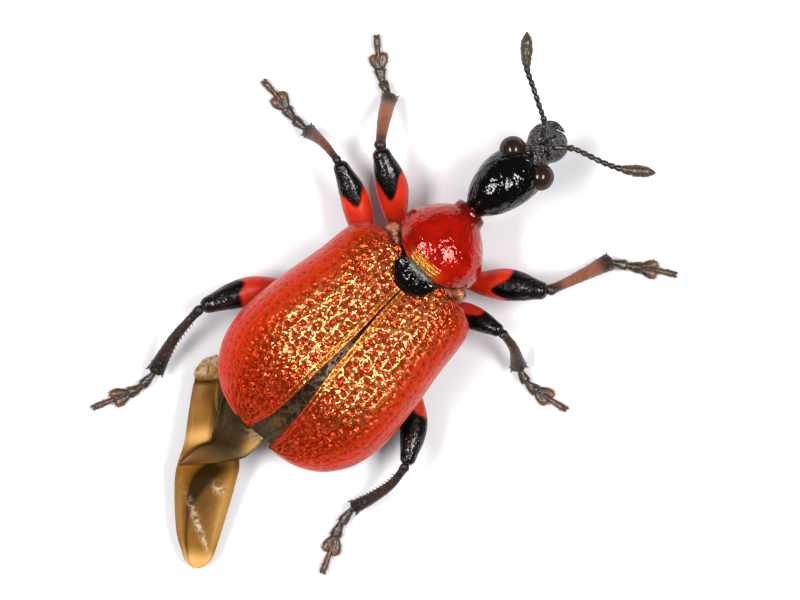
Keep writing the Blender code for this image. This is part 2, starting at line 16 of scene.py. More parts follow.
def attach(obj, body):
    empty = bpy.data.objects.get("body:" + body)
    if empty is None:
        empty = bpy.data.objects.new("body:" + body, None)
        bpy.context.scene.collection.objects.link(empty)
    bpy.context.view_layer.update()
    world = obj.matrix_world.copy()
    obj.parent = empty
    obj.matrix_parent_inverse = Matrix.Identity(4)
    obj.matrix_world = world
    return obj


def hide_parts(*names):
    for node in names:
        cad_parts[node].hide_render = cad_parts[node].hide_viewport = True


bl_info = {
    "name": "Hazel leaf-roller weevil",
    "version": (1, 0, 0),
    "blender": (4, 5, 0),
    "location": "3D View > Sidebar > Weevil",
    "description": "Builds the shells, skins, hairs and stage of a life-size weevil model",
    "category": "Object",
}

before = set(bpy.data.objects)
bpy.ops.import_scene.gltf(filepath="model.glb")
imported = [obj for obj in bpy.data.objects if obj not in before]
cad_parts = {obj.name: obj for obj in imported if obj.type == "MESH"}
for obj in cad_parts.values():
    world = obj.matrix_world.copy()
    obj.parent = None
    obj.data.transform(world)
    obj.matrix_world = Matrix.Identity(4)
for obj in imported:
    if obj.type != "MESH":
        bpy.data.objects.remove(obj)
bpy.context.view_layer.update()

MM = 0.001
STANCE_CENTRE = np.array((0.40, 1.10, 0.0))
UPWARD = (0.0, 0.0, 1.0)
LEFT = 1
RIGHT = -1
SIDES = ((LEFT, "left"), (RIGHT, "right"))
MERGE_REACH = 1e-8

# Hairs: half width, lengths on the side plates and the feelers' clubs, lowest height, how far they
# stray from their way, least and most size, and how much shorter they are on the shins; then for
# each coat how many stand on a square millimetre, how steeply, and their seed
HAIR_HALF_WIDTH = 0.0042 * MM
PLATE_HAIR = 0.09 * MM
CLUB_HAIR = 0.04 * MM
HAIR_FLOOR = 0.003 * MM
HAIR_STRAY = 0.35
HAIR_SIZES = (0.55, 1.15)
SHIN_HAIR_SHARE = 0.9
HAIR_COATS = {"side_plate": (200, 0.8, 3), "feeler": (1500, 0.8, 5), "foot": (420, 0.55, 11),
              "shin": (130, 0.35, 31)}

# Steps round and along of barrels, and across and along of sheets
BALL_GRID = (24, 14)
PRONOTUM_GRID = (96, 170)
THORAX_GRID = (72, 60)
BELLY_GRID = (72, 90)
HEAD_GRID = (80, 120)
SCUTELLUM_GRID = (64, 32)

# Limbs by kind: steps round, steps along, and height against width
LIMB_KINDS = {"edge": (20, 60, 0.8), "jaw": (16, 28, 0.6), "feeler": (16, 14, 1.0),
              "club": (20, 60, 1.0), "femur": (48, 96, 0.9), "shin": (20, 48, 0.85),
              "cone": (18, 20, 0.8), "lobe": (16, 18, 0.7), "claw": (10, 12, 1.0),
              "shaft": (14, 22, 1.0)}
# Where a kind of limb starts and ends to pale along it, and how strongly
PALINGS = {"feeler": (0.55, 1.0, 0.12), "cone": (0.8, 1.0, 0.35), "lobe": (0.35, 1.0, 0.8),
           "claw": (0.0, 0.6, 0.1), "shaft": (0.2, 0.6, 0.25)}

# Crumpled skins: height (mm), folds a millimetre and seed
CRUMPLES = {"side_plates": (0.035, 5.0, 4.0), "hanging_wing": (0.028, 7.0, 2.0),
            "wing_stalk": (0.025, 5.0, 2.0), "tucked_wings": (0.040, 6.0, 2.0)}

# Camera: the photo's scale, the height where it holds, and the place on the animal at its middle
MM_PER_PIXEL = 0.018454
SCALE_HEIGHT = 1.3
FRAME_WIDTH = 800
PHOTO_MIDDLE = (-0.1305, 0.5405, 0.0)
HEADING_TURN = math.radians(225)
CAMERA_HEIGHT = 120
SENSOR = 36
CLIP_REACHES = (0.005, 5)

# Lamps: name, place, width, length (mm), power (W) and whether they glint; then room and floor
LAMPS = (
    ("box_left", (44, 42, 130), 66, 34, 0.185, True),
    ("box_right", (-42, -44, 130), 66, 34, 0.185, True),
    ("box_top", (0, 6, 150), 120, 120, 0.06, False),
)
ROOM_TINT = (0.95, 0.95, 1.0)
ROOM_LIGHT = 0.07
FLOOR_REACH = 400

# Tones that no setting changes; sets of three are dark, light and the pale tips of joints
# painted shade in the pits of the wing cases
PIT_SHADE_RED = (0.150, 0.016, 0.001)
FRONT_SHADE = (0.09, 0.004, 0.001)
# painted reflection of the white floor, pink, at the rims of the wing cases
RIM_REFLECTION_PINK = (0.78, 0.20, 0.13)
# painted highlight, gold, along the seam beads of the wing cases
SEAM_HIGHLIGHT_GILT = (0.66, 0.25, 0.035)
# painted highlight, gold, on the ridges across the pronotum's base
BASE_HIGHLIGHT_GOLD = (0.55, 0.27, 0.03)
NECK_DARK = (0.050, 0.003, 0.002)
# painted shade, faint, in the pits of the pronotum
PRONOTUM_PIT_SHADE = (0.10, 0.003, 0.002)
# grey painted towards the mouth as the dull reflection of the floor
MOUTH_SHEEN_GREY = (0.034, 0.028, 0.026)
LEG_GREY = (0.016, 0.013, 0.012)
# painted shade in the pits of the underside
BODY_PIT_SHADE = (0.012, 0.005, 0.004)
EYE_TONES = ((0.005, 0.002, 0.001), (0.026, 0.009, 0.003))
HAIR_TONES = ((0.06, 0.028, 0.015), (0.22, 0.12, 0.06))
PLATE_TONES = ((0.012, 0.012, 0.011), (0.17, 0.16, 0.14), (0.20, 0.19, 0.17))
FEELER_TONES = ((0.008, 0.005, 0.003), (0.028, 0.018, 0.010), (0.085, 0.052, 0.022))
FOOT_TONES = ((0.010, 0.007, 0.004), (0.060, 0.036, 0.018), (0.17, 0.062, 0.020))
# painted light on the folds of the wing skins
WING_LIT_PALE = (0.60, 0.33, 0.095)
WING_DARK = (0.018, 0.007, 0.001)
# painted highlights, cream, on the crests of the crumples
CREST_HIGHLIGHT_CREAM = (0.60, 0.48, 0.33)
COAT_ROUGHNESS = 0.05

# Streaks of the membrane: how they are turned, and squeezed across their length
STREAK_TURN = math.radians(38)
STREAK_SQUEEZE = (6.0, 1.1, 3.0)

# Wing cases: half width, crest, rim and inner edge are each given against the share of their length
CASE_FRONT = -0.14
CASE_END = 4.14
CASE_NOTCH = 0.56
CASE_SHOULDER = 0.20
CASE_SQUARENESS = 0.58
CASE_HALF_WIDTH = ((0, 1.06), (0.03, 1.34), (0.09, 1.48), (0.25, 1.57), (0.47, 1.73), (0.66, 1.79),
                   (0.80, 1.68), (0.90, 1.42), (0.95, 1.17), (0.985, 0.86), (1, 0.52))
CASE_CREST = ((0, 2.38), (0.15, 2.64), (0.42, 2.86), (0.68, 2.72), (0.87, 2.20), (0.96, 1.76), (1, 1.46))
CASE_RIM = ((0, 1.62), (0.20, 1.44), (0.60, 1.32), (1, 1.30))
CASE_INNER = {
    LEFT: ((0, 0.0), (0.14, -0.01), (0.28, -0.03), (0.55, -0.01), (0.85, 0.03), (1, 0.20)),
    RIGHT: ((0, 0.02), (0.14, 0.025), (0.28, 0.07), (0.53, 0.16), (0.71, 0.27), (0.85, 0.33), (1, 0.36)),
}
CASE_LEAST_RISE = 0.12
# Bulge at each shoulder: place and spread across and along, then how far it stands out and up
CALLUS_PLACE = (0.60, 0.06)
CALLUS_SPREAD = (0.16, 0.05)
CALLUS_SIZE = (0.03, 0.05)
# Wall, mesh steps across and along, and steps that measure how long the surface is across
CASE_WALL = 0.05
CASE_GRID = (140, 230)
PROFILE_STEPS = 800

# Ringed forms: along, half width, underside, top; base ridges: height and pitch
PRONOTUM_RINGS = ((-1.58, 0.26, 1.50, 2.02), (-1.55, 0.31, 1.44, 2.08), (-1.47, 0.33, 1.41, 2.11),
                  (-1.41, 0.35, 1.40, 2.14), (-1.33, 0.45, 1.32, 2.21), (-1.20, 0.60, 1.12, 2.32),
                  (-1.00, 0.75, 0.95, 2.44), (-0.75, 0.85, 0.84, 2.53), (-0.50, 0.89, 0.82, 2.56),
                  (-0.25, 0.89, 0.83, 2.52), (-0.12, 0.88, 0.85, 2.475), (-0.06, 0.84, 0.92, 2.42),
                  (-0.04, 0.76, 1.00, 2.34))
PRONOTUM_BOW = 0.42
BASE_RIDGE = (0.014, 0.062)
BASE_RIDGE_NARROWNESS = 34
BODY_LINE = ((-3.60, -0.01), (-2.90, 0.0), (-2.40, 0.04), (-1.90, 0.07), (-1.50, 0.085),
             (-1.20, 0.05), (-0.90, 0.02), (-0.40, 0.01))
HEAD_RINGS = ((-1.44, 0.17, 1.60, 1.97), (-1.54, 0.19, 1.58, 1.99), (-1.62, 0.21, 1.56, 2.02),
              (-1.72, 0.29, 1.49, 2.11), (-1.86, 0.385, 1.41, 2.20), (-2.05, 0.465, 1.34, 2.27),
              (-2.28, 0.525, 1.29, 2.30), (-2.50, 0.545, 1.27, 2.27), (-2.68, 0.525, 1.29, 2.21),
              (-2.84, 0.47, 1.32, 2.14), (-2.98, 0.385, 1.35, 2.06), (-3.08, 0.31, 1.37, 2.02),
              (-3.17, 0.295, 1.36, 1.98), (-3.30, 0.365, 1.34, 1.95), (-3.45, 0.390, 1.34, 1.88),
              (-3.58, 0.360, 1.37, 1.79), (-3.67, 0.27, 1.42, 1.70), (-3.72, 0.14, 1.47, 1.62))
THORAX_RINGS = ((-0.46, 0.52, 0.98, 2.16), (-0.28, 0.74, 0.80, 2.24), (0.0, 0.88, 0.66, 2.22),
                (0.30, 1.00, 0.58, 2.26), (0.70, 1.12, 0.54, 2.38), (1.10, 1.20, 0.53, 2.44),
                (1.38, 1.18, 0.56, 2.46), (1.56, 1.00, 0.66, 2.40))
ABDOMEN_RINGS = ((1.36, 1.02, 0.72, 2.34), (1.60, 1.22, 0.64, 2.42), (2.20, 1.32, 0.62, 2.40),
                 (2.90, 1.28, 0.64, 2.14), (3.40, 1.06, 0.70, 1.80), (3.80, 0.74, 0.80, 1.48),
                 (4.06, 0.40, 0.92, 1.24), (4.14, 0.14, 1.00, 1.12))
VENTRITES = 5
VENTRITE_STEP = 0.035
BELLY_MIDDLE = 1.4

# Balls: place and radius; scutellum: place, half width and reach
SIDE_KNOBS = (((0.82, -0.26, 1.76), 0.20), ((-0.80, -0.27, 1.76), 0.18), ((0.64, -0.15, 1.96), 0.16),
              ((-0.64, -0.14, 1.94), 0.15))
SCUTELLUM = ((0.0, -0.07, 2.50), 0.41, 0.41)
SCUTELLUM_SLOPE = 0.30
SCUTELLUM_DOME = 0.05
SCUTELLUM_WALL = 0.06
SCUTELLUM_EDGE = 0.09
EYE_CENTRE = (0.355, -2.88, 1.84)
EYE_CUT = 0.19
FACET_RADIUS = 0.0062
FACET_SHAPE = (1.0, 1.0, 0.55)
FEELER_BOSS = ((0.12, -3.38, 1.90), 0.115)
COXAE = (((0.26, -0.60, 0.92), 0.27), ((0.50, 0.46, 0.72), 0.26), ((0.86, 1.32, 0.74), 0.24))
MANDIBLES = (((0.20, -3.52, 1.56), (0.24, -3.64, 1.55), (0.12, -3.76, 1.54), (-0.10, -3.79, 1.53)),
             ((-0.20, -3.52, 1.50), (-0.22, -3.62, 1.48), (-0.12, -3.70, 1.46), (0.02, -3.72, 1.45)))
MANDIBLE_TAPER = ((0, 0.085), (0.5, 0.07), (0.85, 0.035), (1, 0.008))

ANTENNAE = {
    LEFT: ((0.12, -3.40, 1.97), (0.25, -3.58, 2.05), (0.34, -3.66, 2.08), (0.60, -3.79, 2.13),
           (0.90, -3.94, 2.18), (1.22, -4.10, 2.22), (1.48, -4.35, 2.25), (1.70, -4.58, 2.27)),
    RIGHT: ((-0.12, -3.40, 1.97), (-0.30, -3.58, 2.04), (-0.42, -3.67, 2.07), (-0.65, -3.76, 2.11),
            (-0.95, -3.86, 2.14), (-1.29, -4.02, 2.17), (-1.60, -4.26, 2.20), (-1.80, -4.42, 2.21)),
}
# Joints of a feeler: where each starts and ends along it, and its widest half width; then the
# outlines of a joint and of the club, whose grooves have a depth and a width
FEELER_JOINTS = (
    (0.00, 0.15, 0.066), (0.145, 0.215, 0.064), (0.21, 0.28, 0.052), (0.275, 0.35, 0.054),
    (0.345, 0.42, 0.055), (0.415, 0.49, 0.055), (0.485, 0.56, 0.056), (0.555, 0.625, 0.058),
    (0.62, 0.69, 0.064),
)
FEELER_CUP = ((0, 0.55), (0.15, 0.76), (0.55, 1.0), (0.82, 0.92), (1, 0.5))
CLUB_START = 0.675
CLUB_OUTLINE = ((0, 0.050), (0.08, 0.072), (0.30, 0.098), (0.52, 0.108), (0.74, 0.094),
                (0.90, 0.052), (1, 0.004))
CLUB_GROOVES = (0.31, 0.60)
GROOVE_SIZE = (0.16, 0.02)

# Legs: routes of femur, tibia and tarsus, then girth (the femur's widest half width), shin (the
# tibia's half widths at knee and foot), dark_from (how far out the femur turns black), tongue (how
# far back the black runs on top, and how far round it is turned), brown (how brown the shin is)
# and, on the hind legs, teeth (how far round the shin their row is turned)
LEGS = {
    "front_leg_left": dict(
        femur=((0.40, -0.42, 0.72), (0.92, -0.47, 0.74), (1.50, -0.86, 1.00), (2.11, -1.17, 1.22)),
        tibia=((2.11, -1.17, 1.20), (2.42, -1.58, 0.86), (2.68, -2.00, 0.34)),
        tarsus=((2.68, -2.00, 0.30), (3.00, -2.12, 0.16), (3.30, -2.33, 0.10), (3.67, -2.64, 0.10)),
        girth=0.30, shin=(0.115, 0.150), dark_from=0.73, tongue=(0.20, -0.03), brown=0.95),
    "middle_leg_left": dict(
        femur=((0.50, 0.52, 0.70), (1.05, 0.25, 0.74), (1.80, -0.20, 0.96), (2.47, -0.46, 1.17)),
        tibia=((2.47, -0.46, 1.15), (2.90, -0.51, 0.85), (3.31, -0.48, 0.34)),
        tarsus=((3.31, -0.48, 0.30), (3.67, -0.45, 0.16), (4.08, -0.51, 0.10), (4.57, -0.55, 0.10)),
        girth=0.27, shin=(0.082, 0.140), dark_from=0.74, tongue=(0.12, 0.0), brown=0.50),
    "hind_leg_left": dict(
        femur=((0.90, 1.36, 0.72), (1.36, 1.80, 0.76), (1.96, 2.42, 0.90), (2.37, 3.22, 1.12)),
        tibia=((2.37, 3.22, 1.10), (2.36, 3.62, 0.94), (2.32, 4.06, 0.72), (2.15, 4.70, 0.34)),
        tarsus=((2.15, 4.70, 0.30), (2.15, 5.14, 0.16), (2.31, 5.56, 0.10), (2.50, 6.02, 0.10)),
        girth=0.28, shin=(0.092, 0.16), dark_from=0.71, tongue=(0.06, 0.12), brown=0.08,
        teeth=math.pi),
    "front_leg_right": dict(
        femur=((-0.40, -0.46, 0.72), (-0.88, -0.68, 0.74), (-1.38, -1.10, 1.00), (-1.94, -1.49, 1.20)),
        tibia=((-1.94, -1.49, 1.18), (-2.16, -2.07, 0.84), (-2.38, -2.72, 0.34)),
        tarsus=((-2.38, -2.72, 0.30), (-2.71, -2.93, 0.16), (-3.03, -3.17, 0.10), (-3.45, -3.44, 0.10)),
        girth=0.30, shin=(0.105, 0.165), dark_from=0.66, tongue=(0.17, 0.073), brown=0.90),
    "middle_leg_right": dict(
        femur=((-0.50, 0.50, 0.68), (-0.86, 0.06, 0.74), (-1.36, -0.20, 0.92), (-1.88, -0.37, 1.10)),
        tibia=((-1.88, -0.37, 1.08), (-2.24, -0.32, 0.80), (-2.57, -0.14, 0.34)),
        tarsus=((-2.57, -0.14, 0.30), (-2.90, -0.04, 0.16), (-3.30, -0.10, 0.10), (-3.78, -0.21, 0.10)),
        girth=0.23, shin=(0.09, 0.155), dark_from=0.74, tongue=(0.34, 0.08), brown=0.16),
    "hind_leg_right": dict(
        femur=((-0.90, 1.36, 0.72), (-1.42, 1.58, 0.76), (-1.96, 2.02, 0.90), (-2.37, 2.60, 1.10)),
        tibia=((-2.37, 2.60, 1.08), (-2.43, 3.05, 0.84), (-2.36, 3.50, 0.58), (-2.25, 3.88, 0.34)),
        tarsus=((-2.25, 3.88, 0.30), (-2.31, 4.30, 0.16), (-2.48, 4.68, 0.10), (-2.71, 5.17, 0.10)),
        girth=0.26, shin=(0.088, 0.130), dark_from=0.56, tongue=(0.08, 0.06), brown=0.08,
        teeth=0.0),
}
DARK_EDGE = 0.02
TONGUE_NARROWNESS = 6
SPUR_TURNS = (-0.35, 0.3, 2.85, 3.5)
SPUR_PLACE = 0.965
SPUR_LENGTH = 0.075
SPUR_LEAN = 0.7
SPUR_SLIMNESS = 0.30
TEETH = 13
TEETH_PLACES = (0.22, 0.88)
TOOTH_LENGTH = 0.05
TOOTH_LEAN = 1.6
FEMUR_SWELL = ((0, 0.42), (0.18, 0.50), (0.36, 0.76), (0.58, 1.0), (0.76, 0.88), (0.90, 0.63),
               (0.97, 0.52), (1, 0.32))
# Feet: cones and lobes (start, end, half width), the lobes' spread, the shaft (start, end, rise),
# outlines, and claws (where, how far out, how high)
FOOT_CONES = ((0.0, 0.28, 0.098), (0.25, 0.49, 0.112))
FOOT_LOBES = (0.45, 0.72, 0.098)
LOBE_SPREAD = 0.11
FOOT_SHAFT = (0.52, 0.965, 0.04)
CONE_OUTLINE = ((0, 0.45), (0.3, 0.62), (0.8, 1.0), (0.95, 0.9), (1, 0.4))
LOBE_OUTLINE = ((0, 0.4), (0.35, 0.8), (0.7, 1.0), (0.93, 0.7), (1, 0.2))
CLAW_STOPS = ((0.94, 0.012, 0.035), (0.98, 0.034, 0.04), (1.0, 0.026, -0.045))
CLAW_TAPER = ((0, 0.030), (0.5, 0.026), (1, 0.006))

# Hanging wing from fold to tip, its stalk and the tucked wings: outer edge, inner edge, height
WING_RUNGS = (
    ((1.48, 3.66), (1.34, 3.70), 0.60), ((1.60, 3.92), (1.12, 4.04), 0.62),
    ((1.51, 4.28), (0.80, 4.34), 0.62), ((1.21, 4.72), (0.38, 4.52), 0.68),
    ((0.84, 5.22), (-0.12, 4.74), 0.74), ((0.57, 5.72), (-0.42, 5.18), 0.60),
    ((0.23, 6.10), (-0.66, 5.62), 0.50), ((-0.24, 6.52), (-0.90, 6.08), 0.42),
    ((-0.60, 6.73), (-1.045, 6.38), 0.36), ((-0.80, 6.87), (-1.13, 6.63), 0.34),
)
STALK_RUNGS = (
    ((0.96, 3.80), (-0.30, 3.92), 1.04), ((0.97, 4.12), (-0.22, 4.10), 0.96),
    ((0.80, 4.40), (-0.20, 4.26), 0.90), ((0.60, 4.72), (-0.18, 4.50), 0.86),
    ((0.53, 4.87), (-0.13, 4.70), 0.83), ((0.64, 5.18), (0.11, 5.04), 0.80),
    ((0.63, 5.55), (0.60, 5.60), 0.73),
)
TUCKED_RUNGS = (
    ((0.30, 0.95), (-0.36, 0.95), 2.46), ((0.34, 1.40), (-0.42, 1.40), 2.54),
    ((0.36, 1.90), (-0.52, 1.90), 2.67), ((0.34, 2.60), (-0.60, 2.60), 2.53),
    ((0.32, 3.20), (-0.66, 3.20), 2.06), ((0.30, 3.70), (-0.66, 3.70), 1.66),
    ((0.24, 4.16), (-0.50, 4.10), 1.12),
)
# Their sheets: steps across and along, creases (where, lean, height, width), veins (where across,
# height), how far they billow and where the round tip starts
FOLD_LEAN = 0.147
WING_VANE = dict(
    rungs=WING_RUNGS, grid=(90, 240), veins=((0.04, 0.02), (0.96, 0.02)), billow=0.05, tip=0.88,
    creases=((0.49, -0.10, 0.06, 0.028), (0.145, -FOLD_LEAN, 0.09, 0.016)))
STALK_VANE = dict(
    rungs=STALK_RUNGS, grid=(50, 100), creases=(), veins=((0.04, 0.02), (0.97, 0.01)), billow=0.02)
TUCKED_VANE = dict(
    rungs=TUCKED_RUNGS, grid=(60, 180), creases=(), veins=((0.3, 0.03), (0.55, 0.03)), billow=0.03)
# Soft patches of their marks: strength, place across and along, width, length and lean. The shades are
# painted shade and the pales painted light on the folds; the crumples raise crumples, with painted
# highlights on their crests.
WING_SHADES = (
    (1.0, 0.60, 0.52, 0.36, 0.050, -0.17), (1.2, 0.38, 0.590, 0.17, 0.070, -0.5),
    (0.9, 0.20, 0.82, 0.09, 0.070, -1.4), (0.6, 0.55, 0.66, 0.26, 0.11, 0.0),
    (0.7, 0.5, 0.152, 0.9, 0.009, -FOLD_LEAN), (0.7, 0.95, 0.36, 0.08, 0.1, 0.0),
    (0.5, 0.7, 0.24, 0.5, 0.08, 0.0),
)
WING_LIT_PATCHES = (
    (0.8, 0.30, 0.405, 0.36, 0.030, -0.1), (0.5, 0.92, 0.66, 0.11, 0.2, 0.0),
    (0.2, 0.05, 0.7, 0.08, 0.2, 0.0), (0.9, 0.84, 0.27, 0.04, 0.10, 0.0),
)
WING_CRUMPLES = ((1.3, 0.57, 0.765, 0.28, 0.026, 0.34), (1.3, 0.75, 0.575, 0.10, 0.02, 0.0))
STALK_SHADES = ((-0.8, 0.92, 0.40, 0.18, 0.22, 0.0),)
STALK_LIT_PATCHES = ((0.7, 0.88, 0.35, 0.16, 0.22, 0.0),)
STALK_CRUMPLES = ((0.9, 0.85, 0.22, 0.2, 0.12, 0.0),)
TUCKED_SHADES = ((-0.3, 0.5, 0.84, 0.9, 0.06, 0.0),)
TUCKED_CRUMPLES = ((1.5, 0.5, 0.38, 0.9, 0.14, 0.0), (0.2, 0.5, 0.72, 0.9, 0.1, 0.0))


class WeevilSizes(bpy.types.PropertyGroup):
    """Sizes that a maker may change before the pieces are built."""

    pit_rows: bpy.props.IntProperty(
        name="Rows of pits", description="Rows of pits across one wing case", default=14, min=4)
    pits_along: bpy.props.IntProperty(
        name="Pits in a row", description="Pits from the shoulder to the end", default=31, min=8)
    pit_depth: bpy.props.FloatProperty(
        name="Pit depth", description="How deep a pit of the wing case is", default=0.028 * MM,
        unit="LENGTH", precision=6)
    wrinkle_height: bpy.props.FloatProperty(
        name="Wrinkle height", description="How high the wrinkles between the rows stand",
        default=0.016 * MM, unit="LENGTH", precision=6)
    eye_radius: bpy.props.FloatProperty(
        name="Eye radius", description="Radius of an eye", default=0.25 * MM, unit="LENGTH",
        precision=6)
    membrane: bpy.props.FloatProperty(
        name="Membrane", description="Thickness of the hanging wing", default=0.022 * MM,
        unit="LENGTH", precision=6)
    hair_length: bpy.props.FloatProperty(
        name="Hair length", description="Length of a hair on the feet", default=0.075 * MM,
        unit="LENGTH", precision=6)


class WeevilColours(bpy.types.PropertyGroup):
    """Colours that a maker may change before the pieces are built."""

    case_red: bpy.props.FloatVectorProperty(
        name="Wing case", description="Red of the wing cases", subtype="COLOR",
        default=(0.62, 0.026, 0.001))
    # amber of the wrinkles in the middle of the cases: the tint of their metal gloss, and painted golden
    # sheen where they are not metal
    case_gold_sheen: bpy.props.FloatVectorProperty(
        name="Wing case gloss", description="Amber of the raised wrinkles", subtype="COLOR",
        default=(0.98, 0.350, 0.115))
    pronotum_red: bpy.props.FloatVectorProperty(
        name="Pronotum", description="Deep red of the pronotum", subtype="COLOR",
        default=(0.42, 0.006, 0.001))
    femur_red: bpy.props.FloatVectorProperty(
        name="Femur", description="Red of the femora", subtype="COLOR", default=(0.60, 0.020, 0.002))
    black: bpy.props.FloatVectorProperty(
        name="Black", description="Black of the head and legs", subtype="COLOR",
        default=(0.0020, 0.0013, 0.0010))
    knob_tan: bpy.props.FloatVectorProperty(
        name="Side knobs", description="Tan of the knobs behind the pronotum", subtype="COLOR",
        default=(0.30, 0.095, 0.035))
    shin_brown: bpy.props.FloatVectorProperty(
        name="Shin", description="Red-brown of the front shins", subtype="COLOR",
        default=(0.27, 0.088, 0.042))
    body_brown: bpy.props.FloatVectorProperty(
        name="Body", description="Brown of the underside", subtype="COLOR",
        default=(0.055, 0.020, 0.010))
    membrane_brown: bpy.props.FloatVectorProperty(
        name="Membrane", description="Brown of the hanging wing", subtype="COLOR",
        default=(0.195, 0.076, 0.007))
    floor: bpy.props.FloatVectorProperty(
        name="Floor", description="White of the floor", subtype="COLOR", default=(0.80, 0.79, 0.81))


def sizes():
    """The size settings of the scene."""
    return bpy.context.scene.weevil_sizes


def paint(name, share=1.0):
    """A colour setting at a share of its brightness."""
    return np.array(getattr(bpy.context.scene.weevil_colours, name)) * share


def smooth_through(stations):
    """A smooth function through (where, value) stations; values may be vectors."""
    places = np.array([station[0] for station in stations], float)
    values = np.array([np.atleast_1d(station[1]) for station in stations], float)
    low = np.maximum(np.arange(len(places)) - 1, 0)
    high = np.minimum(np.arange(len(places)) + 1, len(places) - 1)
    slopes = (values[high] - values[low]) / (places[high] - places[low])[:, None]
    scalar = values.shape[1] == 1

    def value(where):
        where = np.clip(np.asarray(where, float), places[0], places[-1])
        index = np.clip(np.searchsorted(places, where, side="right") - 1, 0, len(places) - 2)
        span = (places[index + 1] - places[index])[..., None]
        step = (where - places[index])[..., None] / span
        rest = 1 - step
        found = (values[index] * (1 + 2 * step) * rest ** 2
                 + slopes[index] * span * step * rest ** 2
                 + values[index + 1] * step ** 2 * (3 - 2 * step)
                 - slopes[index + 1] * span * step ** 2 * rest)
        return found[..., 0] if scalar else found

    return value


def run_lengths(points, axis=0):
    """Length from the first point to each one, along an axis of their array."""
    steps = np.linalg.norm(np.diff(points, axis=axis), axis=-1)
    return np.insert(np.cumsum(steps, axis=axis), 0, 0, axis=axis)


def route_through(points):
    """A smooth route through places, run from 0 to 1 by length."""
    points = np.array(points, float)
    lengths = run_lengths(points)
    return smooth_through(list(zip(lengths / lengths[-1], points)))


def ease(value, low, high):
    """Smooth step from 0 at low to 1 at high."""
    step = np.clip((value - low) / (high - low), 0, 1)
    return step * step * (3 - 2 * step)


def slowed(share):
    """A share from 0 to 1 that changes slowly near both ends."""
    return (1 - np.cos(np.pi * share)) / 2


def unit(vectors):
    """Vectors at length one."""
    return vectors / np.maximum(np.linalg.norm(vectors, axis=-1, keepdims=True), 1e-9)


class Form:
    """Points, faces and named marks of one mesh, in millimetres on the animal."""

    def __init__(self, points, faces, marks):
        self.points = np.asarray(points, float)
        self.faces = faces
        self.marks = marks

    def mesh(self, name):
        """The mesh in metres, with its marks as attributes."""
        mesh = bpy.data.meshes.new(name)
        mesh.from_pydata(((self.points - STANCE_CENTRE) * MM).tolist(), [], self.faces)
        for mark, values in self.marks.items():
            kind, slot = ("FLOAT_VECTOR", "vector") if np.ndim(values) == 2 else ("FLOAT", "value")
            layer = mesh.attributes.new(mark, kind, "POINT")
            layer.data.foreach_set(slot, np.asarray(values, np.float32).ravel())
        return mesh


def joined(forms):
    """Several forms as one, with the marks that all of them have."""
    points, faces, start = [], [], 0
    names = set(forms[0].marks)
    for form in forms:
        names &= set(form.marks)
        points.append(form.points)
        faces += [tuple(start + corner for corner in face) for face in form.faces]
        start += len(form.points)
    marks = {name: np.concatenate([form.marks[name] for form in forms]) for name in names}
    return Form(np.concatenate(points), faces, marks)


def sheet(place, across, along):
    """Open sheet of quads: place(u, v) gives its points."""
    u, v = np.meshgrid(np.linspace(0, 1, across + 1), np.linspace(0, 1, along + 1))
    points = place(u, v).reshape(-1, 3)
    wide = across + 1
    faces = [(row * wide + col, row * wide + col + 1, (row + 1) * wide + col + 1,
              (row + 1) * wide + col) for row in range(along) for col in range(across)]
    return Form(points, faces, {"across": u.ravel(), "along": v.ravel()})


def barrel(place, around, along):
    """Closed form of rings: place(u, v) gives its points, u runs round and both ends are closed."""
    u, v = np.meshgrid(np.arange(around) / around, np.linspace(0, 1, along + 1))
    grid = place(u, v)
    points = np.concatenate((grid.reshape(-1, 3), grid[0].mean(0)[None], grid[-1].mean(0)[None]))
    faces = []
    for row in range(along):
        for col in range(around):
            after = (col + 1) % around
            faces.append((row * around + col, row * around + after, (row + 1) * around + after,
                          (row + 1) * around + col))
    first = len(points) - 2
    top = along * around
    for col in range(around):
        after = (col + 1) % around
        faces.append((first, after, col))
        faces.append((first + 1, top + col, top + after))
    marks = {"across": np.append(u.ravel(), (0, 0)), "along": np.append(v.ravel(), (0, 1))}
    return Form(points, faces, marks)


def ringed(rings, around, along, bow=0.0, squareness=1.0):
    """Barrel of oval rings: along, half width, underside and top."""
    shape = smooth_through([(ring[0], ring[1:]) for ring in sorted(rings)])
    line = smooth_through(BODY_LINE)
    first, last = rings[0][0], rings[-1][0]

    def place(u, v):
        angle = 2 * np.pi * u
        where = first + (last - first) * v
        half_width, under, top = np.moveaxis(shape(where), -1, 0)
        sine, cosine = np.sin(angle), np.cos(angle)
        across = line(where) + half_width * np.sign(sine) * np.abs(sine) ** squareness
        up = (under + top) / 2 + (top - under) / 2 * np.sign(cosine) * np.abs(cosine) ** squareness
        where = where - bow * sine ** 2 * ease(v, 0.3, 1.0)
        return np.stack((across, where, up), -1)

    return barrel(place, around, along)


def limb(points, radius, kind):
    """Closed round limb of one kind along a route; radius(v) is its half width."""
    around, steps, flatness = LIMB_KINDS[kind]
    route = route_through(points)

    def way(v, reach):
        return unit(route(np.clip(v + reach, 0, 1)) - route(np.clip(v - reach, 0, 1)))

    def place(u, v):
        ahead = way(v, 0.01)
        side = unit(np.cross(ahead, UPWARD))
        over = np.cross(side, ahead)
        angle = (2 * np.pi * u)[..., None]
        girth = radius(v)[..., None]
        return route(v) + girth * (np.sin(angle) * side + np.cos(angle) * over * flatness)

    form = barrel(place, around, steps)
    form.marks["lie"] = way(form.marks["along"], 0.02)
    if kind in PALINGS:
        start, end, strength = PALINGS[kind]
        form.marks["pale"] = ease(form.marks["along"], start, end) * strength
    return form


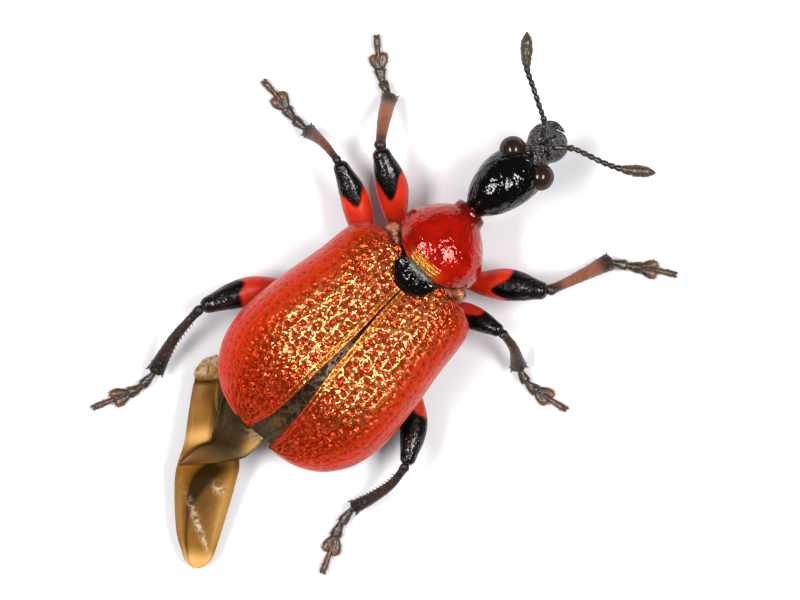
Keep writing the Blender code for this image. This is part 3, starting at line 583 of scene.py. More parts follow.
def ball(centre, radius, stretch=(1, 1, 1)):
    """Ball or egg about a place, whose hairs lie towards the tail."""
    def place(u, v):
        turn = 2 * np.pi * u
        rise = np.pi * np.clip(v, 0.002, 0.998)
        way = np.stack((np.sin(rise) * np.cos(turn), np.sin(rise) * np.sin(turn), np.cos(rise)), -1)
        return np.array(centre) + way * radius * np.array(stretch)

    form = barrel(place, *BALL_GRID)
    form.marks["lie"] = np.tile((0.0, 1.0, 0.0), (len(form.points), 1))
    return form


def paired_balls(centre, radius, stretch=(1, 1, 1)):
    """Two balls, one on each side of the animal."""
    return [ball((centre[0] * side, *centre[1:]), radius, stretch) for side, _ in SIDES]


def add_object(name, mesh):
    """Link a mesh to the scene as an object."""
    obj = bpy.data.objects.new(name, mesh)
    bpy.context.scene.collection.objects.link(obj)
    return obj


def settled(obj):
    """Replace an object by the plain mesh that it evaluates to."""
    graph = bpy.context.evaluated_depsgraph_get()
    mesh = bpy.data.meshes.new_from_object(obj.evaluated_get(graph))
    name = obj.name
    bpy.data.objects.remove(obj, do_unlink=True)
    return add_object(name, mesh)


def walled(obj, thickness, offset=0):
    """An open skin with a wall so many metres thick, as a plain mesh."""
    wall = obj.modifiers.new("wall", "SOLIDIFY")
    wall.thickness = thickness
    wall.offset = offset
    return settled(obj)


def dress(obj, material, slot, *nodes):
    """Give a piece its material and body, and hide the solids it stands for; its record slot is not
    used.
    """
    obj.data.materials.clear()
    obj.data.materials.append(material)
    obj.data.shade_smooth()
    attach(obj, "root")
    if nodes:
        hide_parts(*nodes)


def closed_piece(name, form, material, slot, *nodes):
    """Dressed piece of a closed form, its doubles merged and its faces turned outwards."""
    mesh = form.mesh(name)
    shape = bmesh.new()
    shape.from_mesh(mesh)
    bmesh.ops.remove_doubles(shape, verts=shape.verts, dist=MERGE_REACH)
    bmesh.ops.recalc_face_normals(shape, faces=shape.faces)
    shape.to_mesh(mesh)
    shape.free()
    dress(add_object(name, mesh), material, slot, *nodes)


class Wire:
    """One socket of a node tree. Arithmetic on it adds Math nodes."""

    def __init__(self, net, socket):
        self.net = net
        self.socket = socket

    def maths(self, operation, *values):
        """A Math node on this socket and further values."""
        return self.net.node("ShaderNodeMath", {"operation": operation},
                             dict(enumerate((self, *values))))

    def __add__(self, other):
        return self.maths("ADD", other)

    __radd__ = __add__

    def __mul__(self, other):
        return self.maths("MULTIPLY", other)

    __rmul__ = __mul__

    def __sub__(self, other):
        return self.maths("SUBTRACT", other)

    def __rsub__(self, other):
        return self * -1 + other

    def __abs__(self):
        return self.maths("ABSOLUTE")

    def at_most(self, limit):
        """This value, or the limit where it is higher."""
        return self.maths("MINIMUM", limit)

    def ease(self, low, high):
        """Smooth step from 0 at low to 1 at high."""
        return self.net.node("ShaderNodeMapRange", {"interpolation_type": "SMOOTHSTEP"},
                             {0: self, 1: low, 2: high, 3: 0.0, 4: 1.0})


def colour4(colour):
    """A colour with full alpha."""
    return (*colour, 1.0)


class Net:
    """A node tree that is written as expressions."""

    def __init__(self, tree):
        self.tree = tree

    def node(self, kind, settings=None, inputs=None, output=0):
        """Add a node with its settings and inputs, and return one of its outputs."""
        node = self.tree.nodes.new(kind)
        for name, value in (settings or {}).items():
            setattr(node, name, value)
        for name, value in (inputs or {}).items():
            if isinstance(value, Wire):
                self.tree.links.new(value.socket, node.inputs[name])
            else:
                node.inputs[name].default_value = value
        return Wire(self, node.outputs[output])

    def mix(self, factor, first, second):
        """Blend two colours, each of them a wire or three numbers."""
        first, second = (end if isinstance(end, Wire) else colour4(end) for end in (first, second))
        return self.node("ShaderNodeMix", {"data_type": "RGBA"}, {0: factor, 6: first, 7: second}, 2)

    def added(self, first, second):
        """Sum of two vectors."""
        return self.node("ShaderNodeVectorMath", {"operation": "ADD"}, {0: first, 1: second})

    def scaled(self, vector, factor):
        """A vector made so many times longer."""
        return self.node("ShaderNodeVectorMath", {"operation": "SCALE"}, {0: vector, 3: factor})

    def mark(self, name):
        """A float attribute of the surface, in a material."""
        return self.node("ShaderNodeAttribute", {"attribute_name": name}, {}, 2)

    def millimetres(self):
        """Object coordinates in millimetres, in a material."""
        return self.scaled(self.node("ShaderNodeTexCoord", {}, {}, 3), 1 / MM)

    def noise(self, where, scale, detail=2.0):
        """Noise from 0 to 1 with so many features a millimetre."""
        return self.node("ShaderNodeTexNoise", {}, {"Vector": where, "Scale": scale, "Detail": detail})

    def cells(self, where, scale):
        """Distance to the nearest of so many scattered dots a millimetre."""
        return self.node("ShaderNodeTexVoronoi", {}, {"Vector": where, "Scale": scale})

    def dots(self, where, scale, reach):
        """Soft dots, so many a millimetre, that fade out at a share of their spacing."""
        return 1 - self.cells(where, scale).ease(0.10, reach)

    def ahead_of(self, where, full, none):
        """1 in front of one place along the animal, falling to 0 at a second one behind it."""
        along = self.node("ShaderNodeSeparateXYZ", {}, {0: where}, 1)
        return 1 - along.ease(full - STANCE_CENTRE[1], none - STANCE_CENTRE[1])

    def bump(self, height, depth):
        """Normal of a bump of so many millimetres."""
        return self.node("ShaderNodeBump", {}, {"Height": height, "Distance": depth * MM})

    def feed(self, **wires):
        """Link wires to the sockets of the material's shader, named with underscores."""
        shader = self.tree.nodes["Principled BSDF"]
        for name, wire in wires.items():
            self.tree.links.new(wire.socket, shader.inputs[name.replace("_", " ")])

    def field(self, name, kind="FLOAT"):
        """An attribute, in a geometry tree."""
        return self.node("GeometryNodeInputNamedAttribute", {"data_type": kind}, {"Name": name})

    def kept(self, geometry, name, value):
        """Store a float attribute on the points."""
        return self.node("GeometryNodeStoreNamedAttribute", {"data_type": "FLOAT", "domain": "POINT"},
                         {"Geometry": geometry, "Name": name, "Value": value})

    def seeded_noise(self, scale, seed):
        """Noise with so many features a millimetre drawn from a seed, in a geometry tree."""
        where = self.scaled(self.node("GeometryNodeInputPosition"), 1 / MM)
        return self.node("ShaderNodeTexNoise", {"noise_dimensions": "4D"},
                         {"Vector": where, "W": seed, "Scale": scale, "Detail": 2.0})

    def lifted(self, geometry, lift):
        """The geometry with its points moved outwards."""
        offset = self.scaled(self.node("GeometryNodeInputNormal"), lift)
        return self.node("GeometryNodeSetPosition", {}, {"Geometry": geometry, "Offset": offset})

    def planted(self, points, instance, way, size):
        """An instance on each point, turned to its way and scaled."""
        turn = self.node("FunctionNodeAlignEulerToVector", {"axis": "Z"}, {"Vector": way})
        return self.node("GeometryNodeInstanceOnPoints", {}, {"Points": points, "Instance": instance,
                                                              "Rotation": turn, "Scale": size})


def new_material(name, roughness, coat=0.0, ior=1.55, level=0.5, tint=(1, 1, 1)):
    """A Principled material with its constants set, and its net."""
    material = bpy.data.materials.new(name)
    material.use_nodes = True
    shader = material.node_tree.nodes["Principled BSDF"]
    shader.inputs["Roughness"].default_value = roughness
    shader.inputs["Coat Weight"].default_value = coat
    shader.inputs["Coat Roughness"].default_value = COAT_ROUGHNESS
    shader.inputs["IOR"].default_value = ior
    shader.inputs["Specular IOR Level"].default_value = level
    shader.inputs["Specular Tint"].default_value = colour4(tint)
    return material, Net(material.node_tree)


@cache
def wing_case_material():
    """Red chitin with a clear gloss: painted shade over the back, at the front and in the pits, a
    painted pink reflection at the rim, painted gold highlights on the seam beads, and amber wrinkles
    that are partly painted golden sheen.
    """
    material, net = new_material("wing_case_chitin", 0.2, ior=1.22, tint=(1.0, 0.85, 0.60))
    where = net.millimetres()
    pit = net.mark("pit")
    ridge = net.mark("ridge")
    across = net.mark("across")
    along = net.mark("along")
    cloud = net.noise(where, 2.5)
    fine = net.noise(where, 16.0, 3.0)
    shoulder = (1 - along.ease(0.08, 0.32)) * 0.16
    back = 1 - (across - shoulder).ease(0.34, 0.58)
    middle = back * (1 - along.ease(0.66, 0.86) * 0.85)
    behind = back - middle
    red = net.mix(cloud.ease(0.3, 0.7), paint("case_red", 0.9), paint("case_red"))
    # painted shade: the red is darkened over the back of the case, lighter on the flanks
    painted_back_shade = (1 - (across - shoulder).ease(0.48, 0.76)) * 0.85
    red = net.mix(painted_back_shade, red, paint("case_red", 0.62))
    # painted reflection: pink towards the rim of the case, where the white floor is mirrored
    rim = across.ease(0.72, 1.0) * along.ease(0.25, 0.75) * 0.5
    red = net.mix(rim, red, RIM_REFLECTION_PINK)
    front = (1 - along.ease(0.0, 0.06)) * back
    red = net.mix(front * 0.7, red, FRONT_SHADE)
    # amber on the wrinkles in the middle: partly the tint of the metal gloss, partly painted golden
    # sheen
    inner = middle * (1 - across.ease(0.26, 0.50) * 0.8) * (1 - along.ease(0.52, 0.74) * 0.8)
    warm = net.mix((ridge * 0.5 + fine * 0.4).ease(0.08, 0.65) * inner, red, paint("case_gold_sheen"))
    # painted shade: dark red in the pits, and in dark flecks between the wrinkles of the middle
    ragged = (pit * 0.8 + (fine - 0.5) * middle * 2.2).ease(0.2, 0.75)
    dark = net.mix(ragged * (0.80 + middle * 0.05), warm, PIT_SHADE_RED)
    # painted highlight: gold along the seam beads over the front of the case
    seam_highlight = net.mark("bead").ease(0.3, 1.1) * (1 - along.ease(0.45, 0.7))
    dark = net.mix(seam_highlight * 0.85, dark, SEAM_HIGHLIGHT_GILT)
    net.feed(Base_Color=dark, Metallic=middle * (0.78 - ragged * 0.5) + behind * 0.6,
             Roughness=0.32 - middle * 0.285 - behind * 0.12 + fine * 0.03 + seam_highlight * 0.2,
             Normal=net.bump(net.noise(where, 11.0, 1.0) * (0.03 + back * 0.97), 0.046))
    return material


@cache
def pronotum_material():
    """Deep red polished chitin, faintly wrinkled across its base, with painted gold highlights on these
    wrinkles and painted shade in its pits.
    """
    material, net = new_material("pronotum_chitin", 0.1, ior=1.45, level=0.6, tint=(1.0, 0.93, 0.80))
    where = net.millimetres()
    cloud = net.noise(where, 3.0)
    fine = net.noise(where, 26.0, 3.0)
    dots = net.dots(where, 8.0, 0.50)
    base = net.mark("ridge")
    red = net.mix(cloud.ease(0.25, 0.75), paint("pronotum_red", 0.55), paint("pronotum_red"))
    # painted highlight: gold on the ridges across the base
    warm = net.mix(base * 0.85, red, BASE_HIGHLIGHT_GOLD)
    warm = net.mix(net.ahead_of(where, -1.48, -1.32) * 0.85, warm, NECK_DARK)
    height = fine * base * 0.4 + net.noise(where, 9.0) - dots * 0.05
    # painted shade, faint, in the pits
    net.feed(Base_Color=net.mix(dots * 0.12, warm, PRONOTUM_PIT_SHADE), Metallic=0.25 + base * 0.5,
             Roughness=0.05 + fine * 0.04 + base * 0.1, Normal=net.bump(height, 0.024))
    return material


@cache
def black_material():
    """Black polished chitin, dull and finely pitted towards the mouth, where a grey mottle is painted as
    the floor's dull reflection.
    """
    material, net = new_material("black_chitin_polished", 0.1, ior=1.6)
    where = net.millimetres()
    front = net.ahead_of(where, -3.25, -2.75)
    fine = net.noise(where, 30.0, 3.0)
    dots = net.dots(where, 15.0, 0.34)
    grains = net.cells(where, 17.0).ease(0.0, 0.8)
    mottle = net.noise(where, 7.0, 4.0).ease(0.42, 0.60)
    # painted reflection: a grey mottle towards the mouth; elsewhere a faint grey grain
    tone = net.mix(fine.ease(0.3, 0.8) * 0.1 + front * mottle * 0.8, paint("black"), MOUTH_SHEEN_GREY)
    height = net.noise(where, 7.0) * 1.5 - dots * 0.08 + front * (grains * 0.7 + mottle * 0.4)
    net.feed(Base_Color=tone, Metallic=0.4 - front * 0.4,
             Roughness=0.05 + fine * 0.04 + front * (0.12 + mottle * 0.25),
             Normal=net.bump(height, 0.024))
    return material


@cache
def eye_material():
    """Dark brown facets with a soft shine."""
    material, net = new_material("eye_facets", 0.12, ior=1.5)
    cloud = net.noise(net.millimetres(), 9.0)
    net.feed(Base_Color=net.mix(cloud.ease(0.3, 0.7), *EYE_TONES), Roughness=0.10 + cloud * 0.08)
    return material


@cache
def body_material():
    """Brown-red underside, pitted and thinly dusted, with painted shade in its pits."""
    material, net = new_material("underside_chitin", 0.4, coat=0.1)
    where = net.millimetres()
    cloud = net.noise(where, 2.6, 4.0)
    dots = net.dots(where, 11.0, 0.34)
    tone = net.mix(cloud.ease(0.3, 0.7), paint("body_brown", 0.35), paint("body_brown"))
    # painted shade in the pits
    net.feed(Base_Color=net.mix(dots * 0.7, tone, BODY_PIT_SHADE), Roughness=0.34 + cloud * 0.2,
             Normal=net.bump(dots * -1.0 + cloud * 0.4, 0.012))
    return material


@cache
def leg_material(name, brown=None):
    """Finely wrinkled leg chitin: brown to black, or red to black where no brown is given."""
    material, net = new_material(name, 0.3, ior=1.45)
    where = net.millimetres()
    fine = net.noise(where, 34.0, 3.0)
    cloud = net.noise(where, 5.0)
    dark = net.mark("dark")
    black = net.mix(fine.ease(0.35, 0.75), paint("black"), LEG_GREY)
    lumps = net.noise(where, 9.0) - net.dots(where, 12.0, 0.4) * 0.25
    if brown is None:
        along = net.mark("along")
        red = net.mix(cloud.ease(0.3, 0.8), paint("femur_red", 0.7), paint("femur_red"))
        tone = net.mix(dark, red, black)
        shine = 0.32 + fine * 0.16 - dark * 0.2 * along.ease(0.62, 0.82)
        lumps = lumps * (0.15 + dark * 0.85)
        net.feed(Metallic=dark * (0.9 - along.ease(0.66, 0.84) * 0.75))
    else:
        # the shin's own brown, varied at random and black at the knee and the foot
        brown_share = (cloud.ease(0.2, 0.8) * 0.3 + fine * 0.2 + 0.6) * (1 - dark * 0.9)
        tone = net.mix(brown_share * brown, black, paint("shin_brown"))
        shine = 0.24 + fine * 0.25
    net.feed(Base_Color=tone, Roughness=shine, Normal=net.bump(fine * 0.1 + lumps * 0.9, 0.024))
    return material


@cache
def knob_material():
    """Tan chitin of the side knobs, cloudy and soft."""
    material, net = new_material("knob_chitin", 0.4, coat=0.3)
    cloud = net.noise(net.millimetres(), 8.0, 3.0)
    tan = net.mix(cloud.ease(0.3, 0.6), paint("knob_tan", 0.25), paint("knob_tan", 1.3))
    net.feed(Base_Color=tan, Roughness=0.25 + cloud * 0.2, Normal=net.bump(cloud, 0.05))
    return material


@cache
def foot_material(name, tones):
    """Brown chitin of the feet and feelers, paler at the tips of their joints."""
    material, net = new_material(name, 0.45, coat=0.05)
    where = net.millimetres()
    fine = net.noise(where, 28.0, 3.0)
    dark, light, tip = tones
    tone = net.mix(fine.ease(0.3, 0.8), dark, light)
    net.feed(Base_Color=net.mix(net.mark("pale"), tone, tip), Roughness=0.20 + fine * 0.26,
             Normal=net.bump(fine * 0.3 + net.noise(where, 10.0, 1.0), 0.022))
    return material


@cache
def hair_material():
    """Fine brown hairs."""
    material, net = new_material("hair", 0.5)
    cloud = net.noise(net.millimetres(), 12.0)
    net.feed(Base_Color=net.mix(cloud, *HAIR_TONES), Roughness=0.45 + cloud * 0.2)
    return material


@cache
def membrane_material():
    """Thin brown wing skin: clear between the veins, creased, with a soft gloss, painted shade and
    painted light on its folds, and painted highlights on its crumples.
    """
    material, net = new_material("wing_membrane", 0.3, ior=1.28, tint=(1.0, 0.85, 0.55))
    where = net.millimetres()
    vein = net.mark("vein")
    shade = net.mark("shade")
    crumple = net.mark("crumple")
    drawn = net.node("ShaderNodeMapping", {"vector_type": "POINT"},
                     {0: where, 2: (0, 0, STREAK_TURN), 3: STREAK_SQUEEZE})
    streaks = net.noise(drawn, 1.6, 4.0)
    fine = net.noise(where, 22.0, 3.0)
    tone = net.mix(streaks.ease(0.25, 0.8) * 0.6 + fine * 0.4, paint("membrane_brown", 0.8),
                   paint("membrane_brown", 1.25))
    # painted light: the pale patches, the folded-over knob and the tip
    tone = net.mix(net.mark("pale"), tone, WING_LIT_PALE)
    tone = net.mix((vein * 0.25 + shade * 0.95).at_most(1.0), tone, WING_DARK)
    # painted highlights: cream on the crests where the skin is crumpled
    crest = (1 - abs(net.noise(where, 5.5) - 0.5) * 9.0).ease(0.15, 0.85)
    tone = net.mix((crumple * 0.5).at_most(0.75) * (0.15 + crest * 0.85), tone, CREST_HIGHLIGHT_CREAM)
    net.feed(Base_Color=tone, Roughness=0.28 + fine * 0.14 - (crumple * 0.2).at_most(0.2),
             Alpha=(0.96 + vein * 0.03 + shade * 0.04).at_most(0.99),
             Normal=net.bump(streaks * 0.3 + fine * 0.25, 0.012))
    return material


@cache
def floor_material():
    """Pale paper."""
    material, net = new_material("pale_paper", 0.9)
    grain = net.noise(net.millimetres(), 1.4, 4.0)
    net.feed(Base_Color=net.mix(grain, paint("floor", 0.985), paint("floor")))
    return material


def new_tree(name, **kinds):
    """A geometry tree with named inputs: its net, and its inputs as wires."""
    tree = bpy.data.node_groups.new(name, "GeometryNodeTree")
    for label, kind in {"Geometry": "Geometry", **kinds}.items():
        tree.interface.new_socket(label, in_out="INPUT", socket_type="NodeSocket" + kind)
    tree.interface.new_socket("Geometry", in_out="OUTPUT", socket_type="NodeSocketGeometry")
    net = Net(tree)
    entry = tree.nodes.new("NodeGroupInput")
    return net, {socket.name: Wire(net, socket) for socket in entry.outputs if socket.name}


def end_tree(net, geometry, material):
    """End a geometry tree in Realize Instances and Set Material, and return it."""
    real = net.node("GeometryNodeRealizeInstances", {}, {0: geometry})
    final = net.node("GeometryNodeSetMaterial", {}, {"Geometry": real, "Material": material})
    leave = net.tree.nodes.new("NodeGroupOutput")
    net.tree.links.new(final.socket, leave.inputs[0])
    return net.tree


def grown(name, source, tree, **values):
    """Run a geometry tree on a mesh and keep its plain result."""
    obj = add_object(name, source)
    modifier = obj.modifiers.new("grow", "NODES")
    modifier.node_group = tree
    for item in tree.interface.items_tree:
        if item.in_out == "INPUT" and item.name in values:
            modifier[item.identifier] = values[item.name]
    return settled(obj)


@cache
def pitted_tree():
    """Rows of pits and wrinkled ridges pressed into a wing case along its own lines."""
    net, wires = new_tree("pitted_rows", Rows="Float", Pits="Float", Depth="Float",
                          Wrinkle="Float", Seed="Float")
    across = net.field("across")
    along = net.field("along")
    wander = net.seeded_noise(2.4, wires["Seed"])
    fine = net.seeded_noise(10.0, wires["Seed"])
    line = across * wires["Rows"] + (wander - 0.5) * 0.4
    step = net.field("run") * wires["Pits"] + line.maths("FLOOR") * 0.5 + (wander - 0.5) * 2.0
    cell = net.node("ShaderNodeCombineXYZ", {}, {0: line, 1: step})
    away = net.node("ShaderNodeTexVoronoi", {"voronoi_dimensions": "2D"},
                    {"Vector": cell, "Scale": 1.0, "Randomness": 0.40})
    away = (away + (fine - 0.5) * 0.45) * (0.78 + across * 0.45)
    edge = across.ease(0.052, 0.075) * (1 - across.ease(0.955, 0.985)) * along.ease(0.006, 0.02)
    edge = edge * (1 - along.ease(0.975, 0.992))
    calm = 1 - across.ease(0.42, 0.66) * 0.74
    pit = (1 - away.ease(0.10, 0.38)) * edge
    ridge = away.ease(0.22, 0.52) * (0.2 + fine.ease(0.3, 0.75) * 1.5) * edge * calm
    bead = (1 - abs(across - 0.012).ease(0.002, 0.012)) * 1.5
    bead = bead + (1 - abs(across - 0.042).ease(0.001, 0.013)) * (1.0 + fine)
    rim = across.ease(0.965, 0.99) + (1 - along.ease(0.0, 0.008)) + along.ease(0.985, 0.997)
    fret = fine * calm * 1.3
    lift = pit * calm * wires["Depth"] * -1.0 + (ridge + bead + rim + fret) * wires["Wrinkle"]
    shape = net.kept(wires["Geometry"], "pit", pit)
    shape = net.kept(shape, "ridge", ridge + bead)
    shape = net.kept(shape, "bead", bead)
    return end_tree(net, net.lifted(shape, lift), wing_case_material())


@cache
def crumpled_tree(material):
    """Sharp crumples raised on a skin where its crumple mark asks for them."""
    net, wires = new_tree("crumples", Height="Float", Folds="Float", Seed="Float")
    fold = net.seeded_noise(wires["Folds"], wires["Seed"])
    lift = (1 - abs(fold - 0.5) * 6.0) * net.field("crumple") * wires["Height"]
    return end_tree(net, net.lifted(wires["Geometry"], lift), material)


@cache
def hair_tree():
    """Fine tapered hairs that lie along the limb they grow on."""
    net, wires = new_tree("hairs", Density="Float", Length="Float", Width="Float", Rise="Float",
                          Seed="Int")
    points = net.node("GeometryNodeDistributePointsOnFaces", {},
                      {"Mesh": wires["Geometry"], "Density": wires["Density"], "Seed": wires["Seed"]},
                      "Points")
    outward = Wire(net, points.socket.node.outputs["Normal"])
    hair = net.node("GeometryNodeMeshCone", {}, {"Vertices": 4, "Radius Top": 0.0,
                                                 "Radius Bottom": wires["Width"],
                                                 "Depth": wires["Length"]})
    stray = net.node("FunctionNodeRandomValue", {"data_type": "FLOAT_VECTOR"},
                     {0: (-HAIR_STRAY,) * 3, 1: (HAIR_STRAY,) * 3, "Seed": wires["Seed"]})
    way = net.added(net.scaled(outward, wires["Rise"]), net.field("lie", "FLOAT_VECTOR"))
    least, most = HAIR_SIZES
    size = net.node("FunctionNodeRandomValue", {"data_type": "FLOAT"},
                    {2: least, 3: most, "Seed": wires["Seed"]}, 1)
    return end_tree(net, net.planted(points, hair, net.added(way, stray), size), hair_material())


@cache
def facet_tree():
    """Small domes set close over an eye."""
    net, wires = new_tree("facets", Facet="Float")
    dome = net.node("GeometryNodeMeshIcoSphere", {}, {"Radius": wires["Facet"], "Subdivisions": 1})
    domes = net.planted(wires["Geometry"], dome, net.node("GeometryNodeInputNormal"), FACET_SHAPE)
    both = net.tree.nodes.new("GeometryNodeJoinGeometry")
    net.tree.links.new(domes.socket, both.inputs[0])
    net.tree.links.new(wires["Geometry"].socket, both.inputs[0])
    return end_tree(net, Wire(net, both.outputs[0]), eye_material())


@cache
def spike_tree(material):
    """A tapered spike on each point, along the point's own way and size."""
    net, wires = new_tree("spikes", Width="Float", Length="Float")
    spike = net.node("GeometryNodeMeshCone", {}, {"Vertices": 6, "Radius Top": wires["Width"] * 0.12,
                                                  "Radius Bottom": wires["Width"],
                                                  "Depth": wires["Length"]})
    spikes = net.planted(wires["Geometry"], spike, net.field("lie", "FLOAT_VECTOR"),
                         net.field("size"))
    return end_tree(net, spikes, material)


def add_hairs(name, form, coat, length, number, slot):
    """Hairs of one coat over a form, as a piece of their own; its number moves the seed."""
    density, rise, seed = HAIR_COATS[coat]
    obj = grown(name, form.mesh(name), hair_tree(), Density=density / MM ** 2, Length=length,
                Width=HAIR_HALF_WIDTH, Rise=rise, Seed=seed + number)
    for vertex in obj.data.vertices:
        vertex.co.z = max(vertex.co.z, HAIR_FLOOR)
    dress(obj, hair_material(), slot)


def crumpled(name, form, material):
    """Object of a form whose skin is crumpled where its mark asks for it."""
    height, folds, seed = CRUMPLES[name]
    return grown(name, form.mesh(name), crumpled_tree(material), Height=height * MM, Folds=folds,
                 Seed=seed)


def case_place(side):
    """Outer surface of a wing case: u from the seam to the rim, v from the shoulder to the end."""
    half_width = smooth_through(CASE_HALF_WIDTH)
    crest = smooth_through(CASE_CREST)
    rim = smooth_through(CASE_RIM)
    inner = smooth_through(CASE_INNER[side])

    def place(u, v):
        share = slowed(v)
        front = CASE_FRONT + CASE_NOTCH * (1 - ease(u, 0, CASE_SHOULDER))
        along = front + (CASE_END - front) * share
        start = inner(share)
        low = rim(share)
        high = np.maximum(crest(share), low + CASE_LEAST_RISE)
        angle = np.pi / 2 * u
        callus = np.exp(-((u - CALLUS_PLACE[0]) / CALLUS_SPREAD[0]) ** 2
                        - ((share - CALLUS_PLACE[1]) / CALLUS_SPREAD[1]) ** 2)
        across = start + (half_width(share) - start) * np.sin(angle) ** CASE_SQUARENESS
        across = across + CALLUS_SIZE[0] * callus
        up = low + (high - low) * np.maximum(np.cos(angle), 0) ** CASE_SQUARENESS
        return np.stack((side * across, along, up + CALLUS_SIZE[1] * callus), -1)

    return place


def build_wing_cases():
    """Both wing cases with their pitted rows."""
    columns, rows = CASE_GRID
    fine = np.linspace(0, 1, PROFILE_STEPS + 1)
    for side, word in SIDES:
        name = "wing_case_" + word
        place = case_place(side)
        arc = run_lengths(place(fine, np.full_like(fine, 0.5)))
        form = sheet(lambda u, v: place(np.interp(u * arc[-1], arc, fine), v), columns, rows)
        girths = run_lengths(form.points.reshape(rows + 1, columns + 1, 3), 1)
        form.marks["across"] = (girths / girths[:, -1:]).ravel()
        form.marks["run"] = (form.points[:, 1] - CASE_FRONT) / (CASE_END - CASE_FRONT)
        form.marks["along"] = slowed(form.marks["along"])
        mesh = form.mesh(name)
        if side == RIGHT:
            mesh.flip_normals()
        obj = grown(name, mesh, pitted_tree(), Rows=float(sizes().pit_rows),
                    Pits=float(sizes().pits_along), Depth=sizes().pit_depth,
                    Wrinkle=sizes().wrinkle_height, Seed=3.0 + side)
        dress(walled(obj, CASE_WALL * MM, -1), wing_case_material(), "wing_case", "elytron_" + word)


def build_pronotum():
    """Bell-shaped pronotum with its collar, and the front coxae below it."""
    chitin = pronotum_material()
    bell = ringed(PRONOTUM_RINGS, *PRONOTUM_GRID, bow=PRONOTUM_BOW, squareness=0.86)
    height, pitch = BASE_RIDGE
    v = bell.marks["along"]
    middle = np.clip(np.cos(2 * np.pi * bell.marks["across"]), 0, 1) ** BASE_RIDGE_NARROWNESS
    length = PRONOTUM_RINGS[-1][0] - PRONOTUM_RINGS[0][0]
    wave = np.sin(2 * np.pi * v * length / pitch) * ease(v, 0.78, 0.84) * (1 - ease(v, 0.96, 0.985))
    bell.points[:, 2] += height * wave * middle
    bell.marks["ridge"] = ease(v, 0.80, 0.86) * middle
    closed_piece("pronotum_bell", bell, chitin, "pronotum", "pronotum")
    coxae = joined(paired_balls(*COXAE[0], (1, 1.1, 1.25)))
    coxae.marks["ridge"] = np.zeros(len(coxae.points))
    closed_piece("front_coxae", coxae, chitin, "pronotum")


def build_scutellum():
    """Black half-round plate between the wing cases, with a rough front edge."""
    (across, along, up), half_width, reach = SCUTELLUM

    def place(u, v):
        angle = np.pi * (u - 0.5)
        spread = np.sin(np.pi / 2 * v)
        back = reach * spread * np.abs(np.cos(angle)) ** 0.6
        high = up - SCUTELLUM_SLOPE * back + SCUTELLUM_DOME * (1 - v ** 4)
        return np.stack((across + half_width * spread * np.sin(angle), along + back, high), -1)

    plate = add_object("scutellum_plate", sheet(place, *SCUTELLUM_GRID).mesh("scutellum_plate"))
    dress(walled(plate, SCUTELLUM_WALL * MM), black_material(), "black_chitin", "scutellum")
    stops = [(across + half_width * 0.86 * share, along + 0.01, up + 0.03 - 0.05 * share ** 2)
             for share in (-1.0, -0.5, 0.0, 0.5, 1.0)]
    edge = limb(stops, lambda v: SCUTELLUM_EDGE * np.sin(np.pi * v) ** 0.35, "edge")
    closed_piece("scutellum_edge", edge, foot_material("plate_chitin", PLATE_TONES), "black_chitin")


def build_trunk():
    """Thorax and abdomen with their coxae, side plates and belly rings."""
    thorax = [ringed(THORAX_RINGS, *THORAX_GRID, squareness=0.9)]
    for centre, radius in COXAE[1:]:
        thorax += paired_balls(centre, radius)
    closed_piece("thorax_shell", joined(thorax), body_material(), "body_chitin", "thorax")
    lump = joined([ball(place, radius, (1.05, 1, 1.5)) for place, radius in SIDE_KNOBS])
    lump.marks["crumple"] = np.ones(len(lump.points))
    dress(crumpled("side_plates", lump, knob_material()), knob_material(), "body_chitin")
    add_hairs("side_plate_hairs", lump, "side_plate", PLATE_HAIR, 0, "body_chitin")
    belly = ringed(ABDOMEN_RINGS, *BELLY_GRID, squareness=0.9)
    saw = (belly.marks["along"] * VENTRITES) % 1
    out = unit((belly.points - (0, 0, BELLY_MIDDLE)) * (1, 0, 1))
    belly.points += out * (VENTRITE_STEP * (saw - 0.5) * ease(belly.marks["along"], 0, 0.1))[:, None]
    closed_piece("abdomen_shell", belly, body_material(), "body_chitin", "abdomen")


def build_head():
    """Egg-shaped head with its neck, rostrum, feeler bosses and mandibles."""
    bosses = paired_balls(*FEELER_BOSS, (1, 1.3, 1))
    skull = joined([ringed(HEAD_RINGS, *HEAD_GRID), *bosses])
    closed_piece("head_shell", skull, black_material(), "black_chitin", "head")
    taper = smooth_through(MANDIBLE_TAPER)
    jaws = joined([limb(route, taper, "jaw") for route in MANDIBLES])
    closed_piece("mandibles", jaws, black_material(), "black_chitin")


def build_eyes():
    """Domed eyes covered in facets."""
    across, along, up = EYE_CENTRE
    for side, word in SIDES:
        name = "eye_dome_" + word
        mesh = bpy.data.meshes.new(name)
        shape = bmesh.new()
        bmesh.ops.create_icosphere(shape, subdivisions=5, radius=sizes().eye_radius)
        place = Vector((Vector((across * side, along, up)) - Vector(STANCE_CENTRE)) * MM)
        bmesh.ops.translate(shape, verts=shape.verts, vec=place)
        inner = [vertex for vertex in shape.verts if (vertex.co.x - place.x) * side < -EYE_CUT * MM]
        bmesh.ops.delete(shape, geom=inner, context="VERTS")
        shape.to_mesh(mesh)
        shape.free()
        dress(grown(name, mesh, facet_tree(), Facet=FACET_RADIUS * MM), eye_material(), "eye",
              "eye_" + word)


